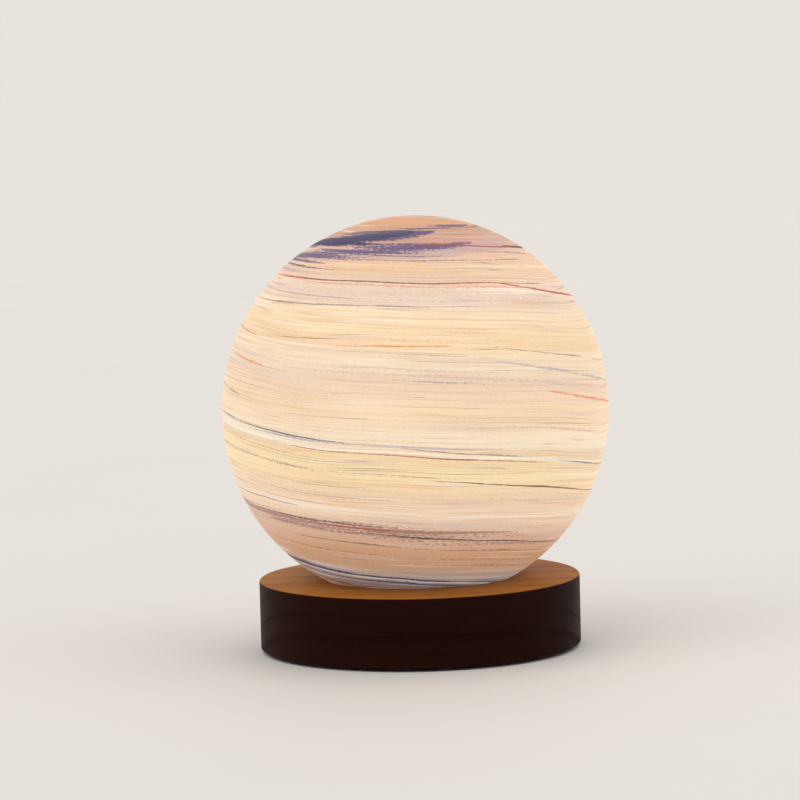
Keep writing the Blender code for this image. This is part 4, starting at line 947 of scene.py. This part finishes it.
# %% [markdown]
# ## Pieces turned again for a close look
# With the globe lifted off, the eye is close to the ring under the glass, the column, the cup, the bulb and
# the button. These are turned again with rounder edges and more steps, from the boxes of the pieces that
# they stand for, so each one stays where the frame has it.

# %% Helper for a piece that is turned again
def turned_again(name, node, outline, steps=96, closed=True):
    """A finer copy of a turned piece, with the body and the finish of the node that it replaces."""
    piece = turned(name, outline, steps, closed)
    take_place(piece, node)
    return piece


def take_place(piece, node):
    """Gives a piece the finish and the body of the node, and lets it stand for the node."""
    bodies = frame["record"]["behaviour"]["bodies"]
    body = next(name for name, nodes in bodies.items() if node in nodes)
    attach(piece, body)
    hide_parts(node)
    piece.data.materials.append(FINISHES[finish_names[node]])
    print(piece.name, "of", len(piece.data.polygons), "faces on", body)


# %% [markdown]
# ## The ring under the glass
# A soft ring of milky silicone keeps the neck of the globe off the carrier and the wood. It is moulded, so
# the lip that the eye sees is round at both edges. It is one closed outline on the lathe, with short arcs for
# those edges and plain corners where nothing shows.

# %% Turn the ring under the glass
RING_FLOOR = 0.001
RING_LIP = 0.0014
RING_INSIDE = 0.001
RING_ROUND = 0.0005
RING_STEPS = 128
ROUND_POINTS = 5
ring_low, ring_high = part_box("globe_gasket")
ring_bore = NECK_RADIUS - GLASS_WALL - RING_INSIDE
lip_bore = ring_high.x - RING_LIP
lip_crest = ring_high.z - RING_ROUND
outline = arc((lip_bore + RING_ROUND, lip_crest), RING_ROUND, math.pi, math.pi / 2, ROUND_POINTS)
outline += arc((ring_high.x - RING_ROUND, lip_crest), RING_ROUND, math.pi / 2, 0.0, ROUND_POINTS)
outline += [
    (ring_high.x, ring_low.z),
    (ring_bore, ring_low.z),
    (ring_bore, ring_low.z + RING_FLOOR),
    (lip_bore, ring_low.z + RING_FLOOR),
]
turned_again("seat_ring", "globe_gasket", outline, RING_STEPS)

# %% [markdown]
# ## The cup of the bulb holder
# The cup is spun from brass over a form: its rim is rolled round, its heel is a soft curve, and a cone leads
# down to the hub that holds the column. A plain sheet with a thickness modifier could do it, but one outline
# with the real wall gives the inside, the outside and the hub together.

# %% Spin the cup of the bulb holder
CUP_WALL = 0.0008
CUP_INSIDE = 0.0088
CUP_FLOOR = 0.0015
CUP_SHOULDER = 0.002
CUP_HUB_WALL = 0.0015
COLUMN_BORE = 0.0035
CUP_LIP_POINTS = 9
cup_low, cup_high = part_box("holder_cup")
cup_radius = cup_high.x
cup_floor = cup_high.z - CUP_INSIDE
hub_radius = COLUMN_HOLE + CUP_HUB_WALL
lip_round = CUP_WALL / 2
outline = arc((cup_radius - lip_round, cup_high.z - lip_round), lip_round, math.pi, 0.0, CUP_LIP_POINTS)
heel = (cup_radius - CUP_WALL, cup_floor + CUP_WALL)
outline += arc(heel, CUP_WALL, 0.0, -math.pi / 4, ROUND_POINTS)
outline += [
    (hub_radius, cup_floor - CUP_FLOOR - CUP_SHOULDER),
    (hub_radius, cup_low.z),
    (COLUMN_HOLE, cup_low.z),
    (COLUMN_HOLE, cup_floor - CUP_FLOOR),
    (COLUMN_BORE, cup_floor - CUP_FLOOR),
    (COLUMN_BORE, cup_floor),
    (cup_radius - CUP_WALL, cup_floor),
]
turned_again("spun_cup", "holder_cup", outline)

# %% [markdown]
# ## The thread of the column
# The hollow column is threaded all the way, and the thread catches the light as fine slanting lines. A relief
# in the material looks the same from afar, but leaves the outline straight, so the ridge is real here. Every
# point asks how far it is along the helix and moves out or in by that share of the thread's depth.

# %% Cut the thread of the column
THREAD_PITCH = 0.001
THREAD_DEPTH = 0.00035
ROWS_PER_TURN = 6
THREAD_STEPS = 48


def threaded_tube(name, radius, bore, low, high):
    """A hollow rod with one long helical ridge, made as a net of points round and up the rod."""
    rows = round((high - low) / THREAD_PITCH) * ROWS_PER_TURN
    tube = bmesh.new()
    rings = []
    for row in range(rows + 1):
        height = low + (high - low) * row / rows
        ring = []
        for step in range(THREAD_STEPS):
            phase = ((height - low) / THREAD_PITCH - step / THREAD_STEPS) % 1.0
            reach = radius - THREAD_DEPTH * abs(2 * phase - 1)
            angle = 2 * math.pi * step / THREAD_STEPS
            ring.append(tube.verts.new((reach * math.cos(angle), reach * math.sin(angle), height)))
        rings.append(ring)
    for height in (high, low):
        angles = [2 * math.pi * step / THREAD_STEPS for step in range(THREAD_STEPS)]
        rings.append([tube.verts.new((bore * math.cos(a), bore * math.sin(a), height)) for a in angles])
    for lower, upper in zip(rings, rings[1:] + rings[:1]):
        for step in range(THREAD_STEPS):
            after = (step + 1) % THREAD_STEPS
            tube.faces.new((lower[step], lower[after], upper[after], upper[step]))
    bmesh.ops.recalc_face_normals(tube, faces=tube.faces)
    made = bpy.data.meshes.new(name)
    tube.to_mesh(made)
    tube.free()
    made.shade_smooth()
    made.set_sharp_from_angle(angle=SHARP_ANGLE)
    obj = bpy.data.objects.new(name, made)
    bpy.context.scene.collection.objects.link(obj)
    return obj


column_low, column_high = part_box("lamp_column")
column = threaded_tube("threaded_column", column_high.x, COLUMN_BORE, column_low.z, column_high.z)
take_place(column, "lamp_column")

# %% [markdown]
# ## The cover of the bulb
# The capsule bulb has a frosted cover: a thin tube with a half ball at its end. It is turned with its wall,
# so it is hollow over the board with the light chips, and its finish glows a little, as the lit one does.

# %% Mould the bulb cover
COVER_WALL = 0.0008
DOME_POINTS = 24
INNER_DOME_POINTS = 20
bulb_low, bulb_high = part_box("bulb_cover")
bulb_radius = bulb_high.x
dome_middle = (0.0, bulb_high.z - bulb_radius)
outline = arc(dome_middle, bulb_radius, math.pi / 2, 0.0, DOME_POINTS)
outline += [(bulb_radius, bulb_low.z), (bulb_radius - COVER_WALL, bulb_low.z)]
outline += arc(dome_middle, bulb_radius - COVER_WALL, 0.0, math.pi / 2, INNER_DOME_POINTS)
outline[0] = (0.0, bulb_high.z)
outline[-1] = (0.0, bulb_high.z - COVER_WALL)
turned_again("capsule_cover", "bulb_cover", outline, closed=False)

# %% [markdown]
# ## The button
# The button is a small moulded cap with a shallow dish for the finger, a skirt that the switch holds back and
# a stem that goes into the spring. The lathe turns it standing up, and it is then laid down to face the back.

# %% Mould the button
BUTTON_LIP = 0.0004
BUTTON_SKIRT = 0.003
BUTTON_STEM = 0.0008
BUTTON_STEM_LENGTH = 0.0025
BUTTON_EDGE = 0.0006
BUTTON_DISH = 0.00025
BUTTON_STEPS = 64
BUTTON_EDGE_POINTS = 6
button_low, button_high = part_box("switch_button")
skirt_radius = (button_high.x - button_low.x) / 2
cap_radius = skirt_radius - BUTTON_LIP
button_back = button_low.y + BUTTON_STEM_LENGTH
dish_floor = button_high.y - BUTTON_DISH
outline = [(0.0, dish_floor), (cap_radius - 3 * BUTTON_EDGE, dish_floor)]
edge_middle = (cap_radius - BUTTON_EDGE, button_high.y - BUTTON_EDGE)
outline += arc(edge_middle, BUTTON_EDGE, math.pi / 2, 0.0, BUTTON_EDGE_POINTS)
outline += [
    (cap_radius, button_back + BUTTON_SKIRT),
    (skirt_radius, button_back + BUTTON_SKIRT),
    (skirt_radius, button_back),
    (BUTTON_STEM, button_back),
    (BUTTON_STEM, button_low.y),
    (0.0, button_low.y),
]
button = turned_again("push_button", "switch_button", outline, BUTTON_STEPS, closed=False)
button_height = (button_low.z + button_high.z) / 2
lay_back = Matrix.Translation((0.0, 0.0, button_height)) @ Matrix.Rotation(-math.pi / 2, 4, "X")
button.data.transform(lay_back)
